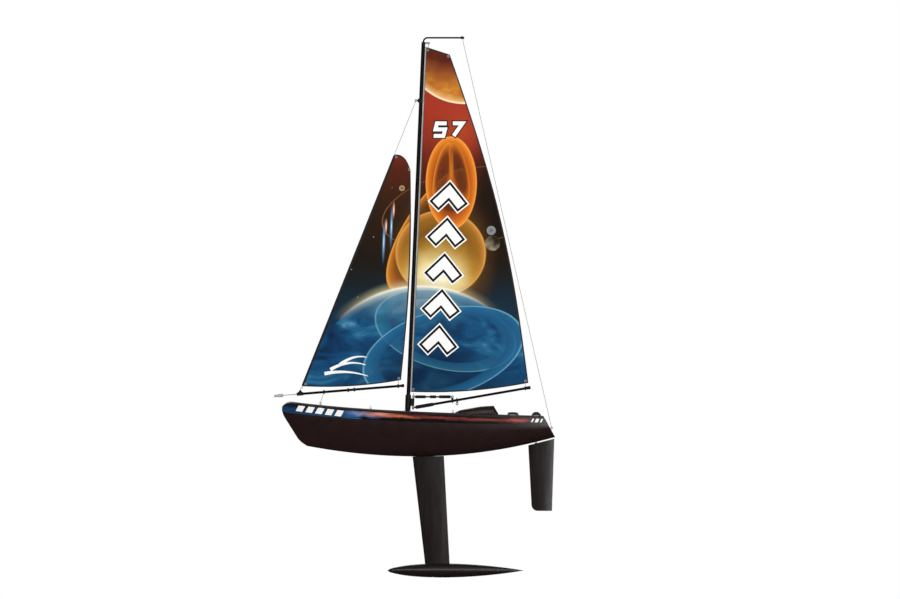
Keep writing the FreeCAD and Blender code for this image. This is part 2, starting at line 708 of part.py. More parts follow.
def pin_hole(x, clearance):
    """The hole in a steering arm for the pushrod's bent end."""
    return rod(V(x, TILLER_R, TILLER_Z - 1), V(x, TILLER_R, TILLER_Z + 9), LINK_R + clearance)


def rudder_pushrod():
    """The wire between servo horn and tiller, with both ends bent down through the arms."""
    top = TILLER_Z + ARM_THICK + LINK_R + GAP
    bar = rod(V(HORN_X, TILLER_R, top), V(STOCK_X, TILLER_R, top), LINK_R)
    ends = [rod(V(x, TILLER_R, TILLER_Z - 1), V(x, TILLER_R, top), LINK_R) for x in (HORN_X, STOCK_X)]
    knees = [Part.makeSphere(LINK_R, V(x, TILLER_R, top)) for x in (HORN_X, STOCK_X)]
    return fuse(bar, *ends, *knees)


def servo(span, half, z0, z1, shaft_x, shaft_r, ear_z):
    """A servo's case: body, mounting ears, round boss and the bore for its output shaft."""
    x0, x1 = span
    body = box(x0, x1, -half, half, z0, z1)
    body = body.makeFillet(1.0, [e for e in body.Edges if e.BoundBox.ZLength > 1])
    ears = box(x0 - FLANGE, x1 + FLANGE, -half + 1, half - 1, ear_z, ear_z + FLANGE_THICK)
    boss = rod(V(shaft_x, 0, z1 - 1), V(shaft_x, 0, z1 + 2.5), shaft_r + 2.6)
    shape = fuse(body, ears, boss)
    shape = shape.cut(rod(V(shaft_x, 0, z1 - 5), V(shaft_x, 0, z1 + 3), shaft_r + RUNNING))
    for x, y in ear_holes(span, half):
        shape = shape.cut(rod(V(x, y, ear_z - 1), V(x, y, ear_z + 4), M2_R + SNUG))
    return shape


def ear_holes(span, half):
    """Where a servo's ears are drilled: two holes an end, or one on a small servo."""
    rows = (-half / 2, half / 2) if half > 8 else (0.0,)
    return [(x, y) for x in (span[0] - FLANGE / 2, span[1] + FLANGE / 2) for y in rows]


def servo_shaft(shaft_x, shaft_r, top):
    """The output shaft from inside the case up into the arm."""
    return rod(V(shaft_x, 0, top - 6.5), V(shaft_x, 0, top + 0.5), shaft_r)


def rudder_servo_horn():
    """The rudder servo's output shaft and arm."""
    arm = lever(HORN_X, TILLER_Z, TILLER_R, 3.6, 1.8)
    shape = fuse(arm, servo_shaft(HORN_X, HORN_SHAFT_R, TILLER_Z))
    shape = shape.cut(pin_hole(HORN_X, RUNNING))
    return shape.cut(rod(V(HORN_X, 0, TILLER_Z - 3), V(HORN_X, 0, 99), M2_R * 0.8 + SNUG))


def sail_servo_arm():
    """The sail servo's output shaft and its long sheet arm, with a hole for each sheet."""
    z = SERVO_Z[1] + 3.0
    arm = lever(SERVO_SHAFT_X, z, SHEET_ARM, 5.6, 2.6, 0.0)
    shape = fuse(arm, servo_shaft(SERVO_SHAFT_X, SERVO_SHAFT_R, z))
    for reach in (SHEET_ARM, SHEET_ARM - 9.0):
        x = SERVO_SHAFT_X + reach
        shape = shape.cut(rod(V(x, 0, z - 1), V(x, 0, z + 4), 0.9))
    return shape.cut(rod(V(SERVO_SHAFT_X, 0, z - 4), V(SERVO_SHAFT_X, 0, z + 9), M2_R * 0.8 + SNUG))


def arm_screw(x, z):
    """The screw that holds a servo's arm on its shaft."""
    return pan_screw(x, 0, z + ARM_THICK + SNUG, 4.5, M2_R * 0.8, 1.8)


def servo_tray():
    """The plate for the radio gear: a cut-out for the sail servo, two posts for the rudder servo."""
    tray = box(*TRAY_X, -TRAY_HALF, TRAY_HALF, TRAY_TOP_Z - TRAY_THICK, TRAY_TOP_Z)
    half = SERVO_HALF + SNUG
    cut = box(SERVO_X[0] - SNUG, SERVO_X[1] + SNUG, -half, half, 0.0, 40.0)
    tray = tray.cut(cut).common(lining)
    posts = [box(x, x + FLANGE - SNUG, 0.5 - MICRO_HALF, MICRO_HALF - 0.5, TRAY_TOP_Z, micro_ear_z())
             for x in (MICRO_X[0] - FLANGE, MICRO_X[1] + SNUG)]
    tray = fuse(tray, *posts)
    for span, half in ((SERVO_X, SERVO_HALF), (MICRO_X, MICRO_HALF)):
        for x, y in ear_holes(span, half):
            tray = tray.cut(rod(V(x, y, 10), V(x, y, 60), M2_R + SNUG))
    return tray


def servo_screws():
    """The screws through both servos' ears."""
    screws = []
    for span, half, ear_z in ((SERVO_X, SERVO_HALF, TRAY_TOP_Z), (MICRO_X, MICRO_HALF, micro_ear_z())):
        for x, y in ear_holes(span, half):
            screws.append(pan_screw(x, y, ear_z + FLANGE_THICK, 7.0, M2_R, 1.9))
    return screws


def sail_servo_case():
    """The sail servo."""
    return servo(SERVO_X, SERVO_HALF, *SERVO_Z, SERVO_SHAFT_X, SERVO_SHAFT_R, TRAY_TOP_Z)


def rudder_servo_case():
    """The rudder servo, standing between its posts."""
    top = TRAY_TOP_Z + MICRO_HEIGHT
    return servo(MICRO_X, MICRO_HALF, TRAY_TOP_Z, top, HORN_X, HORN_SHAFT_R, micro_ear_z())


def micro_ear_z():
    """Height of the underside of the rudder servo's ears."""
    return TRAY_TOP_Z + MICRO_HEIGHT * 0.62


def bay_box(span, y0, y1, height, r):
    """A radio part that stands on the tray, with rounded upright edges."""
    block = box(*span, y0, y1, TRAY_TOP_Z, TRAY_TOP_Z + height)
    return block.makeFillet(r, [e for e in block.Edges if e.BoundBox.ZLength > 1])


def switch_body():
    """The power switch's case, with the slot its slider runs in."""
    mid, top = sum(SWITCH_Y) / 2, TRAY_TOP_Z + SWITCH_HEIGHT
    slot = box(SWITCH_X[0] + 5, SWITCH_X[1] - 5, mid - 2.0, mid + 2.0, top - 3, top + 1)
    return bay_box(SWITCH_X, *SWITCH_Y, SWITCH_HEIGHT, 0.8).cut(slot)


def switch_slider():
    """The power switch's slider, off at its forward end."""
    mid, top = sum(SWITCH_Y) / 2, TRAY_TOP_Z + SWITCH_HEIGHT
    x = SWITCH_X[0] + 5 + GAP
    length = SWITCH_X[1] - SWITCH_X[0] - 10 - 2 * GAP - SWITCH_THROW
    block = box(x, x + length, mid - 2 + GAP, mid + 2 - GAP, top - 3 + GAP, top + 1.6)
    ribs = [box(x + a, x + a + 0.6, mid - 3, mid + 3, top + 1.0, top + 3) for a in (1.2, 2.7, 4.2)]
    for rib in ribs:
        block = block.cut(rib)
    return block


# ================================================================ standing rig
def rig(aft, up, y=0.0):
    """A point given behind and along the raked mast, from where its centreline meets the deck."""
    x = MAST_FOOT_X + aft * math.cos(RAKE) + up * math.sin(RAKE)
    z = deck_z(MAST_FOOT_X) + up * math.cos(RAKE) - aft * math.sin(RAKE)
    return V(x, y, z)


def mast_tube():
    """The mast: one straight tube from its step to the masthead."""
    return tube(rig(0, -MAST_BURY), rig(0, MAST_HEIGHT), MAST_R, MAST_R - MAST_WALL)


def mast_step():
    """The socket on the hull's floor that holds the mast's heel."""
    column = rod(rig(0, -90.0), rig(0, -4.0), STEP_R)
    heel = rig(0, -MAST_BURY)
    plinth = box(heel.x - 12, heel.x + 12, -10, 10, 0, 8)
    return fuse(column, plinth).cut(rod(rig(0, -MAST_BURY - SNUG), rig(0, 5), MAST_R + SNUG)).common(lining)


def mast_foot():
    """The collar on the mast above the deck, with the bracket that holds the gooseneck pin."""
    low, high = FOOT_SPAN
    collar = fuse(cone(rig(0, low), rig(0, low + 3), 4.0, FOOT_R),
                  rod(rig(0, low + 3), rig(0, high), FOOT_R))
    collar = fuse(collar, rod(rig(0, low - 0.7), rig(0, low + 0.8), FOOT_R + 0.6))
    reach = EYE_BODY_R + GAP
    a, b = BOOM_H + reach, VANG_H - reach
    web = [rig(FOOT_R - 1, a), rig(PIVOT_AFT, a), rig(PIVOT_AFT, b), rig(FOOT_R - 1, b)]
    web = Part.Face(Part.makePolygon(web + web[:1])).extrude(V(0, 2.4, 0)).translated(V(0, -1.2, 0))
    barrel = rod(rig(PIVOT_AFT, a), rig(PIVOT_AFT, b), 1.7)
    shape = fuse(collar, web, barrel)
    shape = shape.cut(rod(rig(0, low - 2), rig(0, high + 1), MAST_R + SNUG))
    return shape.cut(rod(rig(PIVOT_AFT, 0), rig(PIVOT_AFT, high + 9), PIN_R + SNUG)).cut(skin)


def gooseneck_pin():
    """The pin that boom and vang swing on, with a head and a clip."""
    low, high = BOOM_H - EYE_BODY_R - GAP, VANG_H + EYE_BODY_R + GAP
    return fuse(rod(rig(PIVOT_AFT, low - 0.8), rig(PIVOT_AFT, high + 0.8), PIN_R),
                rod(rig(PIVOT_AFT, high), rig(PIVOT_AFT, high + 0.9), 1.4),
                rod(rig(PIVOT_AFT, low - 0.9), rig(PIVOT_AFT, low), 1.3))


def pin_eye(up):
    """The round eye that turns on the gooseneck pin, with its side window."""
    c = rig(PIVOT_AFT, up)
    eye = across(c.x, c.z, EYE_BODY_R, 1.5)
    return eye.cut(across(c.x, c.z, 1.25, 3.0))


def pin_bore():
    """The running bore of the gooseneck pin."""
    return rod(rig(PIVOT_AFT, -5), rig(PIVOT_AFT, FOOT_SPAN[1] + 9), PIN_R + RUNNING)


def masthead_cap():
    """The plug in the top of the mast, with the eye that the mainsail's head hangs from."""
    top = MAST_HEIGHT
    shape = fuse(rod(rig(0, top - 10), rig(0, top + 0.5), MAST_R - MAST_WALL - SNUG),
                 rod(rig(0, top + SNUG), rig(0, top + MASTHEAD_CAP), MAST_R))
    arm = rod(rig(2, MASTHEAD_EYE_H), rig(PIVOT_AFT - 1.4, MASTHEAD_EYE_H), 1.1)
    c = rig(PIVOT_AFT, MASTHEAD_EYE_H)
    eye = across(c.x, c.z, 2.1, 1.0)
    shape = fuse(shape, arm, eye).cut(across(c.x, c.z, 1.2, 3.0))
    shape = shape.cut(rod(c, rig(PIVOT_AFT, MASTHEAD_EYE_H - 4), LINE_R + 0.15))
    return shape.cut(rod(rig(0, top - 4), rig(0, top + 9), CRANE_R + SNUG))


def crane_tip():
    """Where the masthead crane ends."""
    head = rig(0, MAST_HEIGHT)
    return V(head.x + CRANE_REACH, 0, head.z + CRANE_RISE)


def mast_crane():
    """The bent wire crane that holds the backstay clear of the mainsail."""
    foot, tip = rig(0, MAST_HEIGHT - 3.5), crane_tip()
    up, aft = rig(0, 1) - rig(0, 0), V(1, 0, 0)
    square = rig(1, 0) - rig(0, 0)
    knee = foot + up * ((tip.z - foot.z) / up.z)
    setback = CRANE_BEND_R * math.tan(up.getAngle(aft) / 2)
    start, end = knee - up * setback, knee + aft * setback
    centre = start + square * CRANE_BEND_R
    middle = centre + (knee - centre).normalize() * CRANE_BEND_R
    run = [Part.makeLine(foot, start), Part.Arc(start, middle, end).toShape(), Part.makeLine(end, tip)]
    section = Part.Wire(Part.makeCircle(CRANE_R, foot, up))
    return Part.Wire(run).makePipeShell([section], True, True).cut(stay_bore())


def backstay_foot():
    """Where the backstay meets the transom's eye."""
    return V(transom_x(TRANSOM_EYE_Z) + 2.6, 0, TRANSOM_EYE_Z)


def backstay_head():
    """Where the backstay passes through the crane's tip."""
    tip = crane_tip()
    return V(tip.x - 2.6, 0, tip.z)


def stay_bore():
    """The hole for the backstay through the crane and its end cap."""
    a, b = backstay_head(), backstay_foot()
    d = (a - b).normalize()
    return rod(a - d * 8, a + d * 8, LINE_R + SNUG)


def crane_cap():
    """The sleeve on the crane's tip that the backstay hangs from."""
    tip = crane_tip()
    sleeve = rod(V(tip.x - 5.2, 0, tip.z), V(tip.x + 0.8, 0, tip.z), CRANE_R + 0.7)
    return sleeve.cut(rod(V(tip.x - 9, 0, tip.z), tip, CRANE_R + SNUG)).cut(stay_bore())


def backstay():
    """The backstay from the crane to the transom, with a knot at each end."""
    a, b = backstay_head(), backstay_foot()
    d = (a - b).normalize()
    top = a + d * (CRANE_R + 1.6)
    return fuse(rod(b, top, LINE_R), Part.makeSphere(KNOT_R, top), Part.makeSphere(KNOT_R, b))


def transom_eye():
    """The ring on the transom that holds the backstay."""
    c = backstay_foot()
    lean = V(math.cos(math.atan(TRANSOM_RAKE)), 0, math.sin(math.atan(TRANSOM_RAKE)))
    ring = across(c.x, c.z, 2.3, 0.9)
    stem = rod(c - lean * 2.2, c - lean * 5, 1.0)
    pad = rod(c - lean * 3.0, c - lean * 1.6, 2.6)
    d = (backstay_head() - c).normalize()
    shape = fuse(ring, stem, pad).cut(across(c.x, c.z, 1.3, 3.0))
    return shape.cut(rod(c, c + d * 6, LINE_R + 0.15)).cut(outer)


def hound_eye_point():
    """Where the jib stay leaves the hound's eye, which is the top of the jib's turning axis."""
    return rig(-HOUND_EYE, HOUND_H)


def jib_pivot_point():
    """The bottom of the jib's turning axis, in the deck eye."""
    return V(JIB_PIVOT_X, 0, deck_z(JIB_PIVOT_X) + EYE_HEIGHT)


def hound_ring():
    """The collar on the mast that holds the jib stay, with an eye in front."""
    half = HOUND_HEIGHT / 2
    collar = rod(rig(0, HOUND_H - half), rig(0, HOUND_H + half), HOUND_R)
    c = hound_eye_point()
    arm = rod(rig(-HOUND_EYE + 2, HOUND_H), rig(0, HOUND_H), 1.3)
    shape = fuse(collar, across(c.x, c.z, 2.4, 1.1), arm)
    shape = shape.cut(rod(rig(0, HOUND_H - 9), rig(0, HOUND_H + 9), MAST_R + SNUG))
    shape = shape.cut(across(c.x, c.z, 1.4, 3.0))
    d = (jib_pivot_point() - c).normalize()
    shape = shape.cut(rod(c, c + d * 6, LINE_R + 2 * GAP))
    open_back = Part.makeBox(20, 20, 20, rig(HOUND_BACK, HOUND_H - 10, -10), rig(0, 1) - rig(0, 0))
    return shape.cut(open_back)


def jib_pivot_eye():
    """The deck eye that the jib's boom is tied down to."""
    up = (hound_eye_point() - jib_pivot_point()).normalize()
    c = jib_pivot_point()
    return deck_eye(JIB_PIVOT_X).cut(rod(c, c + up * 6, LINE_R + 0.15))


# ================================================================ main boom
def boom_point(reach):
    """A point on the main boom's centreline, at a distance from the gooseneck pin."""
    c = rig(PIVOT_AFT, BOOM_H)
    return V(c.x + reach * math.cos(BOOM_RISE), 0, c.z + reach * math.sin(BOOM_RISE))


def boom_socket():
    """The moulded front end of the boom, with the eye that turns on the gooseneck pin."""
    a, b = BOOM_SOCKET
    shape = fuse(pin_eye(BOOM_H), rod(boom_point(EYE_BODY_R - 0.4), boom_point(a + 1), 1.5),
                 rod(boom_point(a), boom_point(b - 3), BOOM_SOCKET_R),
                 cone(boom_point(b - 3), boom_point(b), BOOM_SOCKET_R, BOOM_R + 0.6))
    return shape.cut(rod(boom_point(BOOM_INSERT), boom_point(b + 1), BOOM_R + SNUG)).cut(pin_bore())


def boom_tube():
    """The main boom's tube."""
    return tube(boom_point(BOOM_INSERT + SNUG), boom_point(BOOM_LENGTH - 2), BOOM_R, BOOM_R - 0.6)


def boom_cap():
    """The cap on the main boom's aft end."""
    cap = rod(boom_point(BOOM_LENGTH - 7), boom_point(BOOM_LENGTH), BOOM_R + 0.7)
    cap = cap.makeFillet(0.6, [e for e in cap.Edges if len(e.Vertexes) == 1])
    return cap.cut(rod(boom_point(BOOM_LENGTH - 9), boom_point(BOOM_LENGTH - 2 + SNUG), BOOM_R + SNUG))


def boom_ring(reach, bore=BOOM_R):
    """A ring that grips the main boom."""
    a, b = boom_point(reach - RING_WIDTH / 2), boom_point(reach + RING_WIDTH / 2)
    return tube(a, b, RING_R, bore + SNUG)


def main_sheet_ring():
    """The boom ring with the eye that the mainsheet ties to."""
    c = boom_point(MAIN_SHEET_RING)
    low = c.z - SHEET_EYE_DROP
    eye = across(c.x, low, SHEET_EYE_R, 1.2).cut(across(c.x, low, 1.1, 3.0))
    neck = box(c.x - 1.1, c.x + 1.1, -1.1, 1.1, low + 1.5, c.z - RING_R + 0.5)
    return fuse(boom_ring(MAIN_SHEET_RING), neck, eye)


def vang_point(reach):
    """A point on the vang's level centreline, at a distance aft of the gooseneck pin."""
    c = rig(PIVOT_AFT, VANG_H)
    return V(c.x + reach, 0, c.z)


def vang_front():
    """The vang's front fitting: an eye on the gooseneck pin and a threaded rod."""
    s = VANG_STEPS
    shape = fuse(pin_eye(VANG_H), rod(vang_point(EYE_BODY_R - 0.4), vang_point(s[0] + 1), 1.4),
                 rod(vang_point(s[0]), vang_point(s[1]), VANG_END_R),
                 rod(vang_point(s[1] - 1), vang_point(s[2] + 3.5), VANG_ROD_R))
    return shape.cut(pin_bore())


def vang_barrel():
    """The barrel nut in the middle of the vang, which is turned to set the leech."""
    s = VANG_STEPS
    a, b = vang_point(s[2]), vang_point(s[3])
    barrel = rod(a, b, VANG_END_R)
    barrel = barrel.makeFillet(0.5, [e for e in barrel.Edges if len(e.Vertexes) == 1])
    return barrel.cut(rod(a, b, VANG_ROD_R + RUNNING))


def vang_rear():
    """The vang's rear fitting: a threaded rod and the eye pinned to the boom's clamp."""
    s = VANG_STEPS
    c = vang_point(VANG_REACH)
    eye = across(c.x, c.z, 2.4, 1.0)
    shape = fuse(eye, rod(vang_point(s[5] - 1), vang_point(VANG_REACH - 2.0), 1.2),
                 rod(vang_point(s[4]), vang_point(s[5]), VANG_END_R),
                 rod(vang_point(s[3] - 3.5), vang_point(s[4] + 1), VANG_ROD_R))
    return shape.cut(across(c.x, c.z, 1.3 + SNUG, 3.0))


def vang_clamp():
    """The clamp on the boom with two ears for the vang's pin."""
    c = vang_point(VANG_REACH)
    reach = (c.x - boom_point(0).x) / math.cos(BOOM_RISE)
    foot = boom_point(reach)
    ears = []
    for y in (-2.2, 1.0 + SNUG):
        ear = box(c.x - 1.9, c.x + 1.9, y, y + 1.15, foot.z + BOOM_R, c.z)
        pad = across(c.x, c.z, 1.9, 1.15 / 2).translated(V(0, y + 1.15 / 2, 0))
        ears += [ear, pad]
    shape = fuse(boom_ring(reach), *ears)
    shape = shape.cut(rod(boom_point(reach - 9), boom_point(reach + 9), BOOM_R + SNUG))
    return shape.cut(across(c.x, c.z, 1.3 + SNUG, 9.0)).cut(across(c.x, c.z, 2.9, 1.0 + SNUG))


def vang_pin():
    """The hollow rivet through the clamp's ears and the vang's eye."""
    c = vang_point(VANG_REACH)
    shape = fuse(across(c.x, c.z, 1.3, 2.5), across(c.x, c.z, 1.9, 2.9).cut(across(c.x, c.z, 3.0, 2.3)))
    return shape.cut(across(c.x, c.z, 0.75, 9.0))


# ================================================================ jib boom
def jib_point(x, up=0.0):
    """A point on the jib boom's centreline at an x, or above it."""
    (x0, z0), (x1, z1) = JIB_BOOM_FRONT, JIB_BOOM_AFT
    return V(x, 0, z0 + (z1 - z0) * (x - x0) / (x1 - x0) + up)


def stay_foot():
    """Where the jib stay enters the boom's front cap."""
    return jib_point(STAY_FOOT_X, STAY_RISE)


def jib_stay_way():
    """The direction of the jib stay, upwards."""
    return (hound_eye_point() - stay_foot()).normalize()


def jib_boom_tube():
    """The jib boom's tube."""
    return tube(jib_point(JIB_BOOM_FRONT[0] + 3), jib_point(JIB_BOOM_AFT[0] - 1), BOOM_R, BOOM_R - 0.6)


def jib_front_cap():
    """The pointed cap on the jib boom's front end, drilled for the stay and the counterweight's wire."""
    x0 = JIB_BOOM_FRONT[0] - 0.6
    x1 = x0 + JIB_CAP_LENGTH
    sleeve = rod(jib_point(x0), jib_point(x1), BOOM_R + 0.7)
    peak = stay_foot()
    outline = [(x0, jib_point(x0).z), (peak.x - 0.9, peak.z), (peak.x + 0.9, peak.z), (x1, jib_point(x1).z)]
    fin = plate(outline, -1.4, 1.4)
    shape = fuse(sleeve, fin).cut(rod(jib_point(x0 + 3.6 - SNUG), jib_point(x1 + 2), BOOM_R + SNUG))
    shape = shape.cut(rod(peak - jib_stay_way() * 3.5, peak + jib_stay_way(), LINE_R + SNUG))
    return shape.cut(rod(jib_point(x0 - 1), jib_point(x0 + 3), WEIGHT_ROD_R + SNUG))


def jib_end_cap():
    """The cap on the jib boom's aft end."""
    x = JIB_BOOM_AFT[0]
    cap = rod(jib_point(x - 5), jib_point(x), BOOM_R + 0.6)
    cap = cap.makeFillet(0.6, [e for e in cap.Edges if len(e.Vertexes) == 1])
    return cap.cut(rod(jib_point(x - 7), jib_point(x - 1 + SNUG), BOOM_R + SNUG))


def jib_ring(x):
    """A ring that grips the jib boom."""
    return tube(jib_point(x - RING_WIDTH / 2), jib_point(x + RING_WIDTH / 2), RING_R, BOOM_R + SNUG)


def jib_pivot_ring_x():
    """Where the jib's turning axis crosses its boom."""
    a, b = jib_pivot_point(), hound_eye_point()
    x = a.x
    for _ in range(20):
        x = a.x + (jib_point(x).z - a.z) * (b.x - a.x) / (b.z - a.z)
    return x


def jib_pivot_ring():
    """The boom ring that the pivot line is tied to, drilled for it."""
    a, b = jib_pivot_point(), hound_eye_point()
    return jib_ring(jib_pivot_ring_x()).cut(rod(a, b, LINE_R + SNUG))


def jib_pivot_line():
    """The short line between the deck eye and the jib boom, on the jib's turning axis."""
    a = jib_pivot_point()
    way = (hound_eye_point() - a).normalize()
    c = jib_point(jib_pivot_ring_x())
    top = c - way * (BOOM_R + GAP) * 1.1
    return fuse(rod(a, top, LINE_R), Part.makeSphere(KNOT_R, a))


def jib_stay():
    """The wire in the jib's front edge, from the hound to the boom's front cap."""
    head = hound_eye_point()
    return fuse(rod(stay_foot() - jib_stay_way() * 3.4, head, LINE_R), Part.makeSphere(KNOT_R, head))


def counterweight_rod():
    """The wire that carries the jib's counterweight, in line with the boom."""
    return rod(jib_point(WEIGHT_X[0] + WEIGHT_CAP), jib_point(JIB_BOOM_FRONT[0] + 2.2), WEIGHT_ROD_R)


def counterweight():
    """The counterweight: two rounded lumps on the wire."""
    x0, x1 = WEIGHT_X
    waist = x0 + 0.42 * (x1 - x0)
    lumps = []
    for a, b, r in ((x0, waist, WEIGHT_R * 0.8), (waist - 0.4, x1, WEIGHT_R)):
        lump = rod(jib_point(a), jib_point(b), r)
        lumps.append(lump.makeFillet(r * 0.6, [e for e in lump.Edges if len(e.Vertexes) == 1]))
    bore = rod(jib_point(x0 + WEIGHT_CAP - SNUG), jib_point(x1 + 2), WEIGHT_ROD_R + SNUG)
    return fuse(*lumps).cut(bore)


# ================================================================ sails
def sail(tack, head, clew, peak, roach, foot_round, head_round):
    """A cambered film between a straight front edge and a curved back edge, full to port."""
    rows, columns = 12, 10
    grid = []
    for j in range(rows + 1):
        v = j / rows
        front, back = tack + (head - tack) * v, clew + (peak - clew) * v
        back = back + V(roach * math.sin(math.pi * v), 0, 0)
        chord = (back - front).Length
        line = []
        for i in range(columns + 1):
            u = i / columns
            arch = 4 * u * (1 - u)
            p = front + (back - front) * u
            depth = SAIL_CAMBER * chord * arch * (1.25 - 0.5 * u)
            rise = head_round * arch * v ** 6 - foot_round * arch * (1 - v) ** 4
            line.append(V(p.x + 0.35 * head_round * arch * v ** 6, -depth, p.z + rise))
        grid.append(line)
    surface = Part.BSplineSurface()
    surface.interpolate(grid)
    return surface.toShape().extrude(V(0, SAIL_THICK, 0))


def main_sail():
    """The mainsail."""
    tack, head = rig(LUFF_AFT, MAIN_TACK_H), rig(LUFF_AFT, MAIN_HEAD_H)
    clew, peak = V(MAIN_CLEW[0], 0, MAIN_CLEW[1]), V(MAIN_PEAK[0], 0, MAIN_PEAK[1])
    return sail(tack, head, clew, peak, MAIN_ROACH, MAIN_FOOT_ROUND, 0.0)


def jib_luff(z):
    """A point on the jib's front edge at a height, just behind the stay."""
    foot, way = stay_foot(), jib_stay_way()
    return V(foot.x + way.x / way.z * (z - foot.z) + STAY_HEM / way.z, 0, z)


def jib_sail():
    """The jib."""
    tack_z = stay_foot().z + 6.6
    clew, peak = V(JIB_CLEW[0], 0, JIB_CLEW[1]), V(JIB_PEAK[0], 0, JIB_PEAK[1])
    tack, head = jib_luff(tack_z), jib_luff(JIB_HEAD_Z)
    return sail(tack, head, clew, peak, JIB_ROACH, JIB_FOOT_ROUND, JIB_HEAD_ROUND)


def tie(a, b):
    """A short lashing between two points."""
    return rod(a, b, LINE_R)


def main_sail_ties():
    """The lashings at the mainsail's head, tack and clew."""
    head = rig(PIVOT_AFT, MASTHEAD_EYE_H)
    down = (rig(PIVOT_AFT, 0) - head).normalize()
    head_line = fuse(rod(head, head + down * (MASTHEAD_EYE_H - MAIN_HEAD_H + 1.0), LINE_R),
                     Part.makeSphere(KNOT_R, head))
    clew = V(boom_point(CLEW_RING).x, 0, MAIN_CLEW[1] - 1.6)
    foot = V(clew.x, 0, boom_point(CLEW_RING).z + RING_R + 0.2)
    tack = [rig(PIVOT_AFT, VANG_H + EYE_BODY_R + 1.4), rig(PIVOT_AFT, MAIN_TACK_H - 1.2)]
    return [head_line, tie(*tack), tie(foot, clew)]


def jib_sail_ties():
    """The lashings at the jib's tack and clew."""
    x = JIB_CLEW[0] - 4.5
    ring = jib_point(JIB_RINGS_X[-1])
    cap = jib_luff(stay_foot().z + 1.0)
    return [tie(V(x, 0, ring.z + RING_R + 0.3), V(x, 0, JIB_CLEW[1] - 1.4)),
            tie(cap + V(1.4, 0, 0), jib_luff(stay_foot().z + 6.0) + V(1.2, 0, 0))]


def deck_cover_screws():
    """The screws of the two low covers on the after deck."""
    return [pan_screw(x, 0, z, 6.0, M2_R, 1.7) for x, z in cover_screw_spots()]


def hull_group():
    """The hull, the deck and what is fixed to them."""
    save("hull_shell", hull_shell())
    save("deck_shell", deck_shell())
    save("hull_decal_port", decal(-1))
    save("hull_decal_starboard", decal(1))
    save("hatch_cover", hatch_cover())
    save("hatch_seal", hatch_seal())
    screws = deck_cover_screws()
    save("rudder_servo_cover", low_cover(HUMP_X, HUMP_HALF, HUMP_HEIGHT).cut(screws[0]).cut(screws[1]))
    save("rudder_cap", low_cover(CAP_X, CAP_HALF, CAP_HEIGHT).cut(screws[2]).cut(screws[3]))
    save("deck_cover_screws", *screws)
    save("jib_pivot_eye", jib_pivot_eye())
    save("sheet_eyes", deck_eye(JIB_SHEET_EYE_X), deck_eye(MAIN_SHEET_EYE_X))
    save("transom_eye", transom_eye())


def keel_group():
    """The keel and its fastening."""
    save("keel_fin", keel_fin())
    save("keel_trunk", keel_trunk())
    save("keel_stud_and_nut", keel_stud(), keel_nut())
    save("keel_bulb", keel_bulb())
    save("bulb_screw", bulb_screw())


def gear_group():
    """The rudder, the servos and the radio gear."""
    save("rudder_blade", rudder_blade())
    save("rudder_stock", rudder_stock())
    save("rudder_tube", rudder_tube())
    save("tiller_arm", tiller_arm(), tiller_screw())
    save("rudder_pushrod", rudder_pushrod())
    save("rudder_servo_case", rudder_servo_case())
    save("rudder_servo_horn", rudder_servo_horn(), arm_screw(HORN_X, TILLER_Z))
    save("sail_servo_case", sail_servo_case())
    save("sail_servo_arm", sail_servo_arm(), arm_screw(SERVO_SHAFT_X, SERVO_Z[1] + 3.0))
    save("servo_screws", *servo_screws())
    save("servo_tray", servo_tray())
    save("battery_pack", bay_box(BATTERY_X, -BATTERY_HALF, BATTERY_HALF, BATTERY_HEIGHT, 3.0))
    save("receiver", bay_box(RECEIVER_X, *RECEIVER_Y, RECEIVER_HEIGHT, 1.0))
    save("power_switch_body", switch_body())
    save("power_switch_slider", switch_slider())


def mast_group():
    """The mast and the standing rigging."""
    save("mast_tube", mast_tube())
    save("mast_step", mast_step())
    save("mast_foot", mast_foot())
    save("gooseneck_pin", gooseneck_pin())
    save("masthead_cap", masthead_cap())
    save("mast_crane", mast_crane())
    save("crane_cap", crane_cap())
    save("backstay", backstay())
    save("hound_ring", hound_ring())


def main_group():
    """The mainsail, its boom and its vang."""
    save("boom_socket", boom_socket())
    save("boom_tube", boom_tube())
    save("boom_end_cap", boom_cap())
    save("boom_clew_ring", boom_ring(CLEW_RING))
    save("main_sheet_ring", main_sheet_ring())
    save("vang_front", vang_front())
    save("vang_barrel", vang_barrel())
    save("vang_rear", vang_rear())
    save("vang_clamp", vang_clamp())
    save("vang_pin", vang_pin())
    save("main_sail", main_sail())
    save("main_sail_ties", *main_sail_ties())


def jib_group():
    """The jib, its boom and its counterweight."""
    save("jib_boom_tube", jib_boom_tube())
    save("jib_front_cap", jib_front_cap())
    save("jib_end_cap", jib_end_cap())
    save("jib_boom_rings", jib_pivot_ring(), *[jib_ring(x) for x in JIB_RINGS_X])
    save("jib_lines", jib_pivot_line(), jib_stay(), *jib_sail_ties())
    save("counterweight", counterweight_rod(), counterweight())
    save("jib_sail", jib_sail())


for make_group in (hull_group, keel_group, gear_group, mast_group, main_group, jib_group):
    make_group()
os.makedirs("parts", exist_ok=True)
for name, shape in parts.items():
    shape.exportStep("parts/" + name + ".step")
print(len(parts), "nodes")
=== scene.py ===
# %% [markdown]
# # A radio sailboat, dressed
# The boat comes from the CAD model: hull, foils, rig and radio gear, each part in its own
# mesh and riding on its own body. This lesson gives those parts their finishes, and makes
# the two sails again as thin printed film, with their bindings, tapes, eyelets and marks.
# Lengths are written in millimetres, as a sailmaker would, and turned to metres on the way in.

# %% Load the boat
import json
import math

